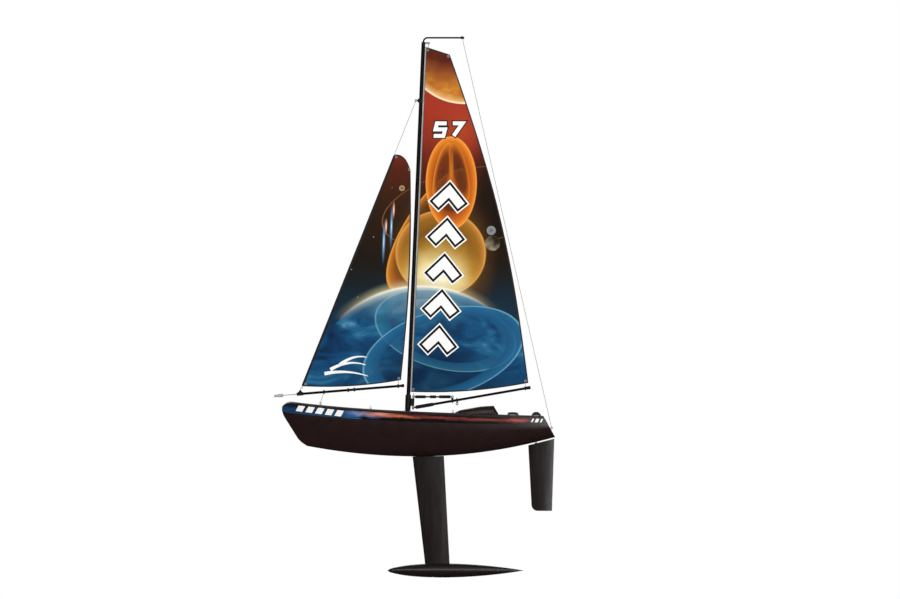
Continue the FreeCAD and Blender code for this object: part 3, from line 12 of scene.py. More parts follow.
import bmesh
import bpy
import numpy as np
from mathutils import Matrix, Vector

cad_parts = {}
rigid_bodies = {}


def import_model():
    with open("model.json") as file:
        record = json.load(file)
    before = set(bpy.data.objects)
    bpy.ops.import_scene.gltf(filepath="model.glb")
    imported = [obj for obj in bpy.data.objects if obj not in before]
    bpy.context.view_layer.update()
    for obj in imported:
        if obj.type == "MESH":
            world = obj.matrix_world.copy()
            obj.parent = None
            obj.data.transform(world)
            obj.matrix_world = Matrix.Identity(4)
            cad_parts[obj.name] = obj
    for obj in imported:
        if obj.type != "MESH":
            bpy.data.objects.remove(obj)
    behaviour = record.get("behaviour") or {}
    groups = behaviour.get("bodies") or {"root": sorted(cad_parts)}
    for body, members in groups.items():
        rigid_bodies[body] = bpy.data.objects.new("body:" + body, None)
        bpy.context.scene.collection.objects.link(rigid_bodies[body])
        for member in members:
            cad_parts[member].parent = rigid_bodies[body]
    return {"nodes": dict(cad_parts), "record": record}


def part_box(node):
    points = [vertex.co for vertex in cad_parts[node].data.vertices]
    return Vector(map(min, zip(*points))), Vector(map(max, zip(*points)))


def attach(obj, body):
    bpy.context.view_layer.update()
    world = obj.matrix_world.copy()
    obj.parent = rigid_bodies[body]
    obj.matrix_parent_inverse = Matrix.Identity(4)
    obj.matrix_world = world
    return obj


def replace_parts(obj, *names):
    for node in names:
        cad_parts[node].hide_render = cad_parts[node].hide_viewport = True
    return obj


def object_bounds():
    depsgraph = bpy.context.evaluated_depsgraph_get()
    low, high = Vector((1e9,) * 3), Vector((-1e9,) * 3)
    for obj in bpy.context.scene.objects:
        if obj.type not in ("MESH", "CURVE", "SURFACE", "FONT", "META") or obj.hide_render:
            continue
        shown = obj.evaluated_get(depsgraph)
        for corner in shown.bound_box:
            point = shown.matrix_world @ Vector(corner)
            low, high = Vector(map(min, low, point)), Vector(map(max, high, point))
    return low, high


# A new file already holds a cube, a lamp and a camera, which would count in the boat's box.
for stray in list(bpy.data.objects):
    bpy.data.objects.remove(stray)
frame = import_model()
cad_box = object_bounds()
parts = frame["nodes"]
MM = 0.001
print(len(parts), "parts, from", tuple(cad_box[0]), "to", tuple(cad_box[1]))

# %% [markdown]
# ## Camera
# The boat is seen square from its port side, with no perspective, as in a scale drawing.
# An orthographic camera does that: its distance doesn't matter, only its width of view.

# %% Camera
VIEW_WIDTH = 1.533
VIEW_CENTRE = (0.0358, 0.2674)
CAMERA_BACK = 4.0
camera = bpy.data.objects.new("camera", bpy.data.cameras.new("camera"))
bpy.context.scene.collection.objects.link(camera)
camera.data.type = "ORTHO"
camera.data.ortho_scale = VIEW_WIDTH
camera.location = (VIEW_CENTRE[0], -CAMERA_BACK, VIEW_CENTRE[1])
camera.rotation_euler = (math.radians(90), 0, 0)
bpy.context.scene.camera = camera
bpy.context.scene.view_settings.view_transform = "Standard"
print("camera looks along +Y, view", VIEW_WIDTH, "m wide")

# %% [markdown]
# ## Colours and nodes
# A paint chart gives a colour as sRGB hex, but a shader works with light, so one function
# turns hex to linear. Another adds a node, sets what is plain and links what isn't. Every
# material below is made with these two.

# %% Colours and nodes
def linear(hexes, alpha=1.0):
    """sRGB hex to linear RGBA: a channel is c / 12.92 up to 0.04045, and ((c + 0.055) / 1.055)^2.4 above."""
    channels = [int(hexes[i:i + 2], 16) / 255 for i in (1, 3, 5)]
    light = [c / 12.92 if c <= 0.04045 else ((c + 0.055) / 1.055) ** 2.4 for c in channels]
    return (*light, alpha)


def add(tree, kind, links=None, **settings):
    """Adds a node. Settings go to its properties or inputs, by name. Links map an input to an output."""
    node = tree.nodes.new(kind)
    for name, value in settings.items():
        if hasattr(node, name):
            setattr(node, name, value)
        else:
            node.inputs[name].default_value = value
    for socket, source in (links or {}).items():
        tree.links.new(source, node.inputs[socket])
    return node


def ramp(tree, factor, stops):
    """A colour ramp from (place, hex) or (place, hex, alpha) stops."""
    node = add(tree, "ShaderNodeValToRGB", {"Fac": factor})
    band = node.color_ramp
    band.interpolation = "LINEAR"
    while len(band.elements) < len(stops):
        band.elements.new(1.0)
    for element, (place, *colour) in zip(band.elements, sorted(stops)):
        element.position = place
        element.color = linear(*colour)
    return node


def shader(name, **sockets):
    """A new material with one Principled shader, whose plain sockets are set on it. Gives all three."""
    material = bpy.data.materials.new(name)
    material.use_nodes = True
    tree = material.node_tree
    tree.nodes.clear()
    body = add(tree, "ShaderNodeBsdfPrincipled", **sockets)
    add(tree, "ShaderNodeOutputMaterial", {"Surface": body.outputs[0]})
    return material, tree, body


print("helpers ready")

# %% [markdown]
# ## Floor and light
# A plain pale floor lies under the bulb. On the port side the light is a broad softbox high
# over the stern quarter and a weaker one towards the bow. Two strips are there to be
# reflected: a long one draws a soft band along the topsides under their knuckle, and a tall
# one at the stern lights the after faces of the foils. A strip and a softbox light the far
# side. The sky is white to the eye, but dark in reflections, or the black gloss would turn
# grey.

# %% Floor
FLOOR_HALF = 6.0
FLOOR_GAP = 0.0005
floor_z = cad_box[0].z - FLOOR_GAP
quarters = ((-1, -1), (1, -1), (1, 1), (-1, 1))
floor_mesh = bpy.data.meshes.new("floor")
floor_mesh.from_pydata([(x * FLOOR_HALF, y * FLOOR_HALF, floor_z) for x, y in quarters], [], [(0, 1, 2, 3)])
floor = bpy.data.objects.new("floor", floor_mesh)
bpy.context.scene.collection.objects.link(floor)
floor.visible_glossy = False
floor_paint, tree, body = shader("painted_floor", Roughness=0.9)
body.inputs["Base Color"].default_value = linear("#F4F4F3")
floor_mesh.materials.append(floor_paint)

# %% Lights
# Each lamp: where it stands, its width and height, both in metres, and its watts.
LIGHTS = {
    "softbox_stern_quarter": ((1.3, -1.9, 1.7), (1.6, 1.2), 11),
    "softbox_bow_fill": ((-1.8, -2.4, 1.1), (1.4, 1.0), 6),
    "strip_long_front": ((-0.3, -2.6, 0.66), (2.2, 0.16), 12),
    "strip_tall_stern": ((1.15, -2.3, -0.3), (0.45, 0.7), 30),
    "strip_behind": ((0.4, 2.2, 1.9), (2.0, 0.5), 5),
    "softbox_starboard": ((-1.0, 2.3, 1.2), (1.4, 1.4), 16),
}
AIM = (0.0, 0.0, 0.25)
for name, (place, size, watts) in LIGHTS.items():
    lamp = bpy.data.lights.new(name, "AREA")
    lamp.shape, (lamp.size, lamp.size_y), lamp.energy = "RECTANGLE", size, watts
    holder = bpy.data.objects.new(name, lamp)
    bpy.context.scene.collection.objects.link(holder)
    holder.location = place
    holder.visible_camera = False
    aim = np.array(AIM) - np.array(place)
    tilt = math.atan2(math.hypot(aim[0], aim[1]), -aim[2])
    turn = math.atan2(aim[0], -aim[1]) + math.pi
    holder.rotation_euler = (tilt, 0, turn)
    print(name, "at", place)

# %% Sky
REFLECTED = [(0.0, "#2A2A2B"), (0.5, "#1A1A1B"), (1.0, "#48484A")]
EVEN_LIGHT = 0.56
sky = bpy.data.worlds.new("sky")
bpy.context.scene.world = sky
sky.use_nodes = True
tree = sky.node_tree
tree.nodes.clear()
towards = add(tree, "ShaderNodeTexCoord").outputs["Generated"]
up = add(tree, "ShaderNodeSeparateXYZ", {0: towards}).outputs["Z"]
height = add(tree, "ShaderNodeMapRange", {"Value": up}, **{"From Min": -1.0, "From Max": 1.0}).outputs[0]
path = add(tree, "ShaderNodeLightPath")
dim = add(tree, "ShaderNodeBackground", {"Color": ramp(tree, height, REFLECTED).outputs[0]}, Strength=1.0)
even = add(tree, "ShaderNodeBackground", Color=linear("#FFFFFF"), Strength=EVEN_LIGHT)
white = add(tree, "ShaderNodeBackground", Color=linear("#FFFFFF"), Strength=1.0)
by_gloss = path.outputs["Is Glossy Ray"]
lit = add(tree, "ShaderNodeMixShader", {0: by_gloss, 1: even.outputs[0], 2: dim.outputs[0]})
by_eye = path.outputs["Is Camera Ray"]
seen = add(tree, "ShaderNodeMixShader", {0: by_eye, 1: lit.outputs[0], 2: white.outputs[0]})
add(tree, "ShaderNodeOutputWorld", {"Surface": seen.outputs[0]})
print("sky made")

# %% [markdown]
# ## Plain finishes
# Most parts of a model boat are moulded, drawn or turned, and each of those leaves a grain:
# moulded plastic is faintly mottled, a drawn tube has long fine lines, cast iron under paint
# is lumpy. One noise pattern of the right size, stretched along the right axis, drives the
# colour, the roughness and a shallow bump together. Each row of the chart below is one
# finish: its two tones, its smoothest and roughest, its grain in millimetres, the height of
# the grain in millimetres, and what the shader needs besides.

# %% Plain finishes
def finish(name, tones, rough, grain, height, **sockets):
    """Noise, its grain in mm along each axis, mixes two tones, sets the roughness and lifts a bump in mm."""
    material, tree, body = shader(name, **sockets)
    place = add(tree, "ShaderNodeTexCoord").outputs["Object"]
    place = add(tree, "ShaderNodeMapping", {"Vector": place}, Scale=[1 / (g * MM) for g in grain])
    noise = add(tree, "ShaderNodeTexNoise", {"Vector": place.outputs[0]}, Scale=1.0, Detail=3.0)
    noise = noise.outputs["Fac"]
    tone = ramp(tree, noise, [(0.3, tones[0]), (0.7, tones[1])])
    dull = add(tree, "ShaderNodeMapRange", {"Value": noise},
               **{"From Min": 0.3, "From Max": 0.7, "To Min": rough[0], "To Max": rough[1]})
    bump = add(tree, "ShaderNodeBump", {"Height": noise}, Distance=height * MM)
    tree.links.new(tone.outputs["Color"], body.inputs["Base Color"])
    tree.links.new(dull.outputs[0], body.inputs["Roughness"])
    tree.links.new(bump.outputs[0], body.inputs["Normal"])
    return material


CHART = {
    # Injection-moulded ABS off a polished tool: brown-black, a soft gloss, faint orange peel.
    "hull_black": (("#241413", "#281817"), (0.30, 0.36), (14, 14, 14), 0.004,
                   {"Specular IOR Level": 0.34}),
    # Moulded nylon foils, glass filled: semi-gloss, with flow streaks down the span.
    "foil_black": (("#1A1312", "#1F1816"), (0.20, 0.25), (7, 7, 60), 0.004, {}),
    # Cast iron under black enamel: lumpy below the paint, glossy on top.
    "bulb_iron": (("#191110", "#211816"), (0.30, 0.38), (5, 5, 5), 0.02, {"Coat Weight": 0.3}),
    # Drawn aluminium tube, black anodised: near black, with fine lines along its length.
    "mast_black": (("#030203", "#080606"), (0.42, 0.52), (0.7, 0.7, 90), 0.004,
                   {"Specular IOR Level": 0.14}),
    # Glass-filled nylon fittings: dull black, finely mottled.
    "fitting_black": (("#0A0807", "#120F0E"), (0.46, 0.6), (1.4, 1.4, 1.4), 0.02,
                      {"Specular IOR Level": 0.3}),
    # Turned and blackened brass: fine tool lines across the barrel.
    "vang_metal": (("#080607", "#141112"), (0.34, 0.46), (0.8, 30, 30), 0.008, {}),
    # Satin nickel plate on bent wire and turned weights: pale grey, softly bright.
    "eye_metal": (("#B4B5B7", "#CBCCCE"), (0.30, 0.42), (2, 2, 2), 0.004, {"Metallic": 0.35}),
    # Stainless screws: bright, with fine turning marks.
    "steel": (("#8E8F92", "#ABACAF"), (0.22, 0.36), (1.5, 1.5, 0.4), 0.004, {"Metallic": 0.8}),
    # Silicone rubber seal: matt and slightly dusty.
    "seal_rubber": (("#0E0D0D", "#1B1A1A"), (0.68, 0.82), (2, 2, 2), 0.02, {}),
    # Cut ABS sheet and tube inside the hull: matt dark grey, fine saw grain.
    "inner_plastic": (("#29292B", "#343437"), (0.50, 0.62), (1.5, 1.5, 1.5), 0.02, {}),
    # Servo and receiver cases: spark-eroded tool texture on black nylon.
    "servo_plastic": (("#17181B", "#22242A"), (0.46, 0.6), (0.6, 0.6, 0.6), 0.02, {}),
    # White acetal arms: slightly waxy, light comes a little way in.
    "servo_arm_white": (("#E4E2DA", "#F0EEE8"), (0.34, 0.44), (3, 3, 3), 0.01,
                        {"Subsurface Weight": 0.15, "Subsurface Scale": 0.001}),
    # PVC shrink wrap round the cells: glossy blue, slightly wrinkled over them.
    "battery_wrap": (("#20508C", "#2C66A6"), (0.2, 0.3), (7, 14, 7), 0.12, {}),
}
finishes = {name: finish(name, *row[:4], **row[4]) for name, row in CHART.items()}
print(len(finishes), "plain finishes")

# %% [markdown]
# ## Line
# The backstay and the lashings are braided polyester. A braid is two sets of strands that
# cross on the slant, so two sets of diagonal waves, multiplied, lift a bump; the same product
# darkens the grey where it is low, a painted shade in the grooves between the strands. The real
# strands are 0.2 mm wide; they are drawn 0.9 mm wide, or they wouldn't show at all.

# %% Line
STRAND = 0.9
STRAND_HEIGHT = 0.1
# At this scale a wave texture has one wave to each unit, near enough.
STRAND_WAVES = 0.32
line_finish, tree, body = shader("stay_line", Roughness=0.75)
body.inputs["Sheen Weight"].default_value = 0.3
place = add(tree, "ShaderNodeTexCoord").outputs["Object"]
waves = []
for slant in (1.0, -1.0):
    turned = add(tree, "ShaderNodeMapping", {"Vector": place}, Rotation=(0, slant * math.radians(45), 0),
                 Scale=[1 / (STRAND * MM)] * 3)
    wave = add(tree, "ShaderNodeTexWave", {"Vector": turned.outputs[0]}, Scale=STRAND_WAVES)
    waves.append(wave.outputs["Fac"])
weave = add(tree, "ShaderNodeMath", {0: waves[0], 1: waves[1]}, operation="MULTIPLY").outputs[0]
# Painted shade: the grey is darker where the weave is low, in the grooves between the strands.
grey = ramp(tree, weave, [(0.0, "#626466"), (0.6, "#94969A")])
bump = add(tree, "ShaderNodeBump", {"Height": weave}, Distance=STRAND_HEIGHT * MM)
tree.links.new(grey.outputs[0], body.inputs["Base Color"])
tree.links.new(bump.outputs[0], body.inputs["Normal"])
finishes["stay_line"] = line_finish
print("line finish made")

# %% [markdown]
# ## Painting with discs
# The sail film and the topside band carry printed pictures. Each picture is a stack of
# layers, and each layer is one ellipse in side view: a disc, a ring or a glow, depending on
# where its ramp is opaque. A layer can wobble, can be seen only inside another, and can
# take cloudy colours from a noise in place of its own. A hidden layer isn't painted: it is
# there only for others to be seen inside it. The picture reads the object's own X and Z, in
# millimetres, so it stays on the piece from every side and in every pose.

# %% Painting with discs
ENDLESS = 1e6


def in_mm(tree):
    """Object coordinates in millimetres."""
    place = add(tree, "ShaderNodeTexCoord").outputs["Object"]
    return add(tree, "ShaderNodeVectorMath", {0: place}, operation="SCALE", Scale=1 / MM).outputs[0]


def wobbled(tree, mm, reach, size):
    """The place moved by up to half of reach, in mm, by a noise whose lumps are size mm wide."""
    scaled = add(tree, "ShaderNodeVectorMath", {0: mm}, operation="SCALE", Scale=1 / size).outputs[0]
    noise = add(tree, "ShaderNodeTexNoise", {"Vector": scaled}, Scale=1.0, Detail=3.0).outputs["Color"]
    middle = add(tree, "ShaderNodeVectorMath", {0: noise}, operation="SUBTRACT")
    middle.inputs[1].default_value = (0.5, 0.5, 0.5)
    moved = add(tree, "ShaderNodeVectorMath", {0: middle.outputs[0], 2: mm}, operation="MULTIPLY_ADD")
    moved.inputs[1].default_value = (reach, reach, reach)
    return moved.outputs[0]


def blended(tree, factor, under, over):
    """Two colours mixed by a factor. Each is an output of another node, or a plain colour."""
    node = add(tree, "ShaderNodeMix", {0: factor}, data_type="RGBA")
    for place, colour in ((6, under), (7, over)):
        if isinstance(colour, tuple):
            node.inputs[place].default_value = colour
        else:
            tree.links.new(colour, node.inputs[place])
    return node.outputs[2]


def picture(tree, mm, colour, layers):
    """Lays each disc over the colours so far. A disc's reach is the length of (place - centre) / half sizes,
    so it is 1 on the disc's edge. Its depth along Y is endless."""
    masks = {}
    for name, centre, half, turn, stops, *more in layers:
        extra = more[0] if more else {}
        place = wobbled(tree, mm, *extra["wobble"]) if "wobble" in extra else mm
        inside = add(tree, "ShaderNodeMapping", {"Vector": place}, vector_type="TEXTURE",
                     Location=(centre[0], 0, centre[1]), Rotation=(0, math.radians(turn), 0),
                     Scale=(half[0], ENDLESS, half[1]))
        reach = add(tree, "ShaderNodeVectorMath", {0: inside.outputs[0]}, operation="LENGTH").outputs["Value"]
        band = ramp(tree, reach, stops)
        mask, paint = band.outputs["Alpha"], band.outputs["Color"]
        if "inside" in extra:
            held = masks[extra["inside"]]
            mask = add(tree, "ShaderNodeMath", {0: mask, 1: held}, operation="MULTIPLY").outputs[0]
        if "cloud" in extra:
            size, tones = extra["cloud"]
            scaled = add(tree, "ShaderNodeVectorMath", {0: mm}, operation="MULTIPLY")
            scaled.inputs[1].default_value = (1 / size[0], 0, 1 / size[1])
            cloud = add(tree, "ShaderNodeTexNoise", {"Vector": scaled.outputs[0]}, Scale=1.0, Detail=8.0,
                        Distortion=0.6).outputs["Fac"]
            paint = ramp(tree, cloud, tones).outputs["Color"]
        masks[name] = mask
        if not extra.get("hidden"):
            colour = blended(tree, mask, colour, paint)
    return colour


print("picture layers ready")

# %% [markdown]
# ## The sails' picture
# The film is printed from side to side, across both sails: night blue at the foot, a globe
# with a bright limb, a golden glow over it, orange loops like flame, a red sky and a great
# amber planet at the head. The print is dye in clear polyester with a matt face, so it
# keeps deep colours, and has only the faintest crinkle. Each row below is one disc: its
# name, centre, half sizes and turn, the stops of its ramp, and what is special about it.

# %% The sails' picture
SKY_TOP = 700.0
SKY_WOBBLE = (26, 48)
SKY_BY_HEIGHT = [
    (0.145, "#01182C"), (0.19, "#04284A"), (0.27, "#083A5E"), (0.34, "#0E2E42"), (0.42, "#161F24"),
    (0.48, "#1E160C"), (0.57, "#2B1A0B"), (0.64, "#3C1E0C"), (0.70, "#561F0E"), (0.77, "#8A2C1A"),
    (0.84, "#A33420"), (0.90, "#A33420"), (1.0, "#5A2413")]
GLOBE_CLOUDS = [
    (0.30, "#021B31"), (0.42, "#06325A"), (0.52, "#0F4C76"), (0.62, "#2C6F94"), (0.76, "#8FAEBB")]
LAYERS = [
    ("red_haze", (52, 556), (60, 62), 0, [(0.0, "#B5461F", 0.8), (1.0, "#A33424", 0.0)]),
    ("dusk", (122, 440), (62, 150), 0,
     [(0.0, "#170B05", 0.95), (0.5, "#1C0E07", 0.8), (1.0, "#241208", 0.0)]),
    ("orbit", (66, 424), (150, 66), -12,
     [(0.978, "#8A5A34", 0.0), (0.985, "#A8703F", 0.6), (0.99, "#A8703F", 0.6), (0.997, "#8A5A34", 0.0)]),
    ("gold_glow", (22, 338), (104, 128), 0,
     [(0.0, "#E8C878", 0.9), (0.4, "#A87828", 0.85), (0.7, "#5E3C12", 0.6), (1.0, "#2A1A0A", 0.0)],
     {"wobble": (26, 60)}),
    ("sweep", (4, 386), (46, 124), 33,
     [(0.0, "#3A220C", 0.5), (0.62, "#5E3812", 0.6), (0.80, "#8A4E14", 0.9), (0.92, "#B86C1E", 1.0),
      (0.98, "#E39A3E", 1.0), (1.0, "#7A3A0E", 0.0)]),
    ("gold_disc", (20, 346), (78, 74), 0,
     [(0.0, "#6E4A10", 1.0), (0.6, "#7E5214", 1.0), (0.84, "#9A661C", 1.0), (0.93, "#B87831", 1.0),
      (0.975, "#D89A44", 1.0), (1.0, "#D89A44", 0.0)]),
    ("gold_light", (14, 302), (88, 84), 0,
     [(0.0, "#FFF7DC", 1.0), (0.35, "#F3DF9E", 0.95), (0.7, "#C79A3C", 0.6), (1.0, "#98621A", 0.0)],
     {"inside": "gold_disc", "wobble": (22, 40)}),
    ("outer_flame", (38, 466), (44, 80), 0,
     [(0.52, "#5A2208", 0.0), (0.58, "#6A2A0A", 0.95), (0.72, "#B05012", 1.0), (0.86, "#D06E16", 1.0),
      (0.95, "#E88A2A", 1.0), (0.985, "#F2A24A", 1.0), (1.0, "#7A340A", 0.0)]),
    ("left_petal", (24, 484), (15, 54), 12,
     [(0.0, "#5C2A10", 0.9), (0.60, "#7A360E", 0.9), (0.84, "#C0661A", 1.0), (0.96, "#E08A30", 1.0),
      (1.0, "#7A340A", 0.0)]),
    ("right_petal", (52, 484), (15, 54), -12,
     [(0.0, "#4A200C", 0.9), (0.60, "#6E300C", 0.9), (0.84, "#B45C14", 1.0), (0.96, "#D77A22", 1.0),
      (1.0, "#7A340A", 0.0)]),
    ("flame_heart", (38, 484), (5, 46), 0,
     [(0.0, "#D07A22", 0.9), (0.8, "#A5500F", 0.8), (1.0, "#6A2A08", 0.0)]),
    ("planet", (60, 704), (104, 104), 0,
     [(0.0, "#B0702F", 1.0), (0.99, "#B0702F", 1.0), (1.0, "#B0702F", 0.0)],
     {"cloud": ((46, 34), [(0.32, "#8A451A"), (0.48, "#B5681F"), (0.6, "#CC8430"), (0.74, "#E8A642")])}),
    ("planet_shade", (36, 758), (138, 138), 0,
     [(0.3, "#4A160C", 0.98), (0.62, "#541A0D", 0.96), (0.76, "#7E3C22", 0.75), (0.98, "#A76022", 0.0)],
     {"inside": "planet"}),
    ("planet_limb", (60, 704), (104, 104), 0,
     [(0.86, "#E8B266", 0.0), (0.95, "#E8BE80", 0.65), (0.975, "#F6DCAA", 1.0), (0.99, "#FBEBC6", 1.0),
      (1.0, "#FBEBC6", 0.0)]),
    ("globe", (-14, 90), (200, 200), 0,
     [(0.0, "#0D4669", 1.0), (0.99, "#0D4669", 1.0), (1.0, "#0D4669", 0.0)],
     {"cloud": ((66, 34), GLOBE_CLOUDS)}),
    ("deep_water", (0, 60), (230, 200), 0,
     [(0.0, "#011B33", 0.85), (0.55, "#032A4C", 0.7), (0.85, "#0B4F7C", 0.2), (1.0, "#0B4F7C", 0.0)],
     {"inside": "globe"}),
    ("sunlit_top", (-18, 288), (176, 74), 0,
     [(0.0, "#B9C6C4", 0.95), (0.35, "#7F9CA6", 0.8), (0.7, "#3F7288", 0.4), (1.0, "#2A6F93", 0.0)],
     {"inside": "globe", "wobble": (44, 34)}),
    ("limb_light", (-34, 306), (190, 96), 0,
     [(0.0, "#FFFFFF", 1.0), (0.4, "#FFFFFF", 0.85), (1.0, "#FFFFFF", 0.0)], {"hidden": True}),
    ("limb", (-14, 90), (222, 222), 0,
     [(0.84, "#8FA9B0", 0.0), (0.885, "#C3CEC8", 0.7), (0.9, "#FFF8E4", 1.0), (0.915, "#CFC08E", 0.55),
      (0.97, "#7A8A80", 0.0)], {"inside": "limb_light"}),
    ("high_ribbon", (28, 214), (124, 66), 14,
     [(0.76, "#1F5F84", 0.0), (0.79, "#1F5F84", 0.5), (0.965, "#2A7396", 0.55), (0.985, "#7FB2C4", 0.6),
      (1.0, "#7FB2C4", 0.0)], {"inside": "globe"}),
    ("low_ribbon", (24, 176), (142, 74), -16,
     [(0.77, "#14507A", 0.0), (0.80, "#14507A", 0.85), (0.965, "#1E6590", 0.85), (0.985, "#6FAAC0", 0.9),
      (1.0, "#6FAAC0", 0.0)]),
    ("moon", (108, 363), (13, 13), 0, [(0.0, "#B9A68A", 1.0), (0.94, "#CDBB9C", 1.0), (1.0, "#CDBB9C", 0.0)],
     {"cloud": ((12, 12), [(0.35, "#5E5346"), (0.65, "#B5A283")])}),
    ("moon_shade", (117, 373), (24, 24), 0,
     [(0.3, "#1A120C", 0.95), (1.0, "#1A120C", 0.0)], {"inside": "moon"}),
    ("little_moon", (106, 385), (8, 8), 0,
     [(0.0, "#3A3A3C", 1.0), (0.3, "#77787A", 1.0), (0.9, "#8C8D90", 1.0), (1.0, "#8C8D90", 0.0)]),
    ("jib_moon", (-46, 457), (5, 5), 0,
     [(0.0, "#4A3A30", 1.0), (0.9, "#B9946C", 1.0), (1.0, "#D9B48C", 0.0)]),
    ("comet", (-77, 366), (3.2, 42), 2,
     [(0.0, "#F2F8FA", 1.0), (0.35, "#6FA8CC", 0.8), (1.0, "#1C5C93", 0.0)]),
    ("comet_head", (-73, 392), (2.4, 16), 2,
     [(0.0, "#FFE9D8", 1.0), (0.6, "#C87A50", 0.9), (1.0, "#8A3A1E", 0.0)]),
    ("far_comet", (-64, 392), (3.0, 42), 2,
     [(0.0, "#F2F8FA", 1.0), (0.35, "#6FA8CC", 0.8), (1.0, "#1C5C93", 0.0)]),
    ("far_comet_head", (-60, 420), (2.4, 17), 2,
     [(0.0, "#FFE9D8", 1.0), (0.6, "#C87A50", 0.9), (1.0, "#8A3A1E", 0.0)]),
]
STAR_SPACING = 17.0
CRINKLE, CRINKLE_HEIGHT = 14.0, 0.25


def sail_film(name):
    """Printed polyester film: a sky that changes with height, stars as specks in Voronoi cells, the layers
    over them, and a shallow crinkle."""
    material, tree, body = shader(name, Roughness=0.55)
    body.inputs["Specular IOR Level"].default_value = 0.08
    mm = in_mm(tree)
    up = add(tree, "ShaderNodeSeparateXYZ", {0: wobbled(tree, mm, *SKY_WOBBLE)}).outputs["Z"]
    level = add(tree, "ShaderNodeMath", {0: up}, operation="DIVIDE")
    level.inputs[1].default_value = SKY_TOP
    colour = ramp(tree, level.outputs[0], SKY_BY_HEIGHT).outputs["Color"]
    spread = add(tree, "ShaderNodeVectorMath", {0: mm}, operation="MULTIPLY")
    spread.inputs[1].default_value = (1 / STAR_SPACING, 0, 1 / STAR_SPACING)
    far = add(tree, "ShaderNodeTexVoronoi", {"Vector": spread.outputs[0]}, Scale=1.0).outputs["Distance"]
    star = ramp(tree, far, [(0.0, "#F5E8D6", 0.9), (0.035, "#F5E8D6", 0.5), (0.06, "#F5E8D6", 0.0)])
    colour = blended(tree, star.outputs["Alpha"], colour, star.outputs["Color"])
    colour = picture(tree, mm, colour, LAYERS)
    tree.links.new(colour, body.inputs["Base Color"])
    scaled = add(tree, "ShaderNodeVectorMath", {0: mm}, operation="SCALE", Scale=1 / CRINKLE).outputs[0]
    crinkle = add(tree, "ShaderNodeTexNoise", {"Vector": scaled}, Scale=1.0, Detail=2.0).outputs["Fac"]
    bump = add(tree, "ShaderNodeBump", {"Height": crinkle}, Distance=CRINKLE_HEIGHT * MM)
    tree.links.new(bump.outputs[0], body.inputs["Normal"])
    return material


for name in ("main_sail_film", "jib_sail_film"):
    finishes[name] = sail_film(name)
print("sail film made,", len(LAYERS), "layers")

# %% [markdown]
# ## The topside print
# A printed vinyl band runs along each topside. It is black, with blue at the bow and long
# flares of lilac, rose and crimson down its middle, and it carries five plain slanted bars
# at the bow and a small group at the stern. The flares are long thin ellipses, broken up by
# a noise stretched along the boat. The bars are a sawtooth along the band, cut off on all
# sides.

# %% The topside print
FLARES = [
    ("bow_blue", (-216, 80), (104, 30), 7,
     [(0.0, "#0F3F6B", 1.0), (0.7, "#15507F", 1.0), (0.9, "#2A6FA3", 0.8), (1.0, "#2A6FA3", 0.0)],
     {"wobble": (16, 20)}),
    ("bow_night", (-236, 90), (60, 9), 12,
     [(0.0, "#050A14", 0.95), (0.6, "#050A14", 0.7), (1.0, "#050A14", 0.0)], {"wobble": (12, 14)}),
    ("lilac", (-108, 72.4), (44, 7), 5,
     [(0.0, "#A7A2BC", 0.9), (0.5, "#6F7CA8", 0.7), (1.0, "#2A4A78", 0.0)], {"wobble": (8, 12)}),
    ("rose", (-76, 71.5), (46, 5.6), 5,
     [(0.0, "#F2B79C", 1.0), (0.5, "#D97A58", 0.8), (1.0, "#7A3424", 0.0)], {"wobble": (6, 12)}),
    ("orange", (-40, 68.8), (50, 4.4), 4,
     [(0.0, "#E08A5C", 0.95), (0.5, "#B0523A", 0.8), (1.0, "#5A2018", 0.0)], {"wobble": (6, 12)}),
    ("crimson", (22, 65.6), (84, 4.2), 4,
     [(0.0, "#8E3A34", 0.95), (0.6, "#6A2422", 0.8), (1.0, "#2A0E0E", 0.0)], {"wobble": (6, 14)}),
    ("after_red", (96, 62.2), (78, 3.6), 3,
     [(0.0, "#A3423A", 0.95), (0.6, "#6E2622", 0.8), (1.0, "#2A0E0E", 0.0)], {"wobble": (5, 14)}),
    ("stern_red", (150, 61.2), (40, 5.0), 2,
     [(0.0, "#C05A50", 0.9), (0.5, "#8A302A", 0.8), (1.0, "#2A0E0E", 0.0)], {"wobble": (6, 14)}),
]
# Each set of bars: its middle, the band's slope there in degrees, the spacing, the white share of
# that spacing, and half its length and height.
BARS = [((-186.0, 77.6), 7.0, 16.6, 0.68, 41.5, 5.2), ((184.0, 61.3), 1.5, 9.0, 0.6, 9.0, 3.0)]
LEAN = 0.4
OUTLINE = 1.0
STREAK_LENGTH, STREAK_HEIGHT, STREAK_SLOPE = 60, 3, -4


def sized(tree, value, half):
    """1 where the value is between -half and half, else 0."""
    size = add(tree, "ShaderNodeMath", {0: value}, operation="ABSOLUTE").outputs[0]
    node = add(tree, "ShaderNodeMath", {0: size}, operation="LESS_THAN")
    node.inputs[1].default_value = half
    return node.outputs[0]


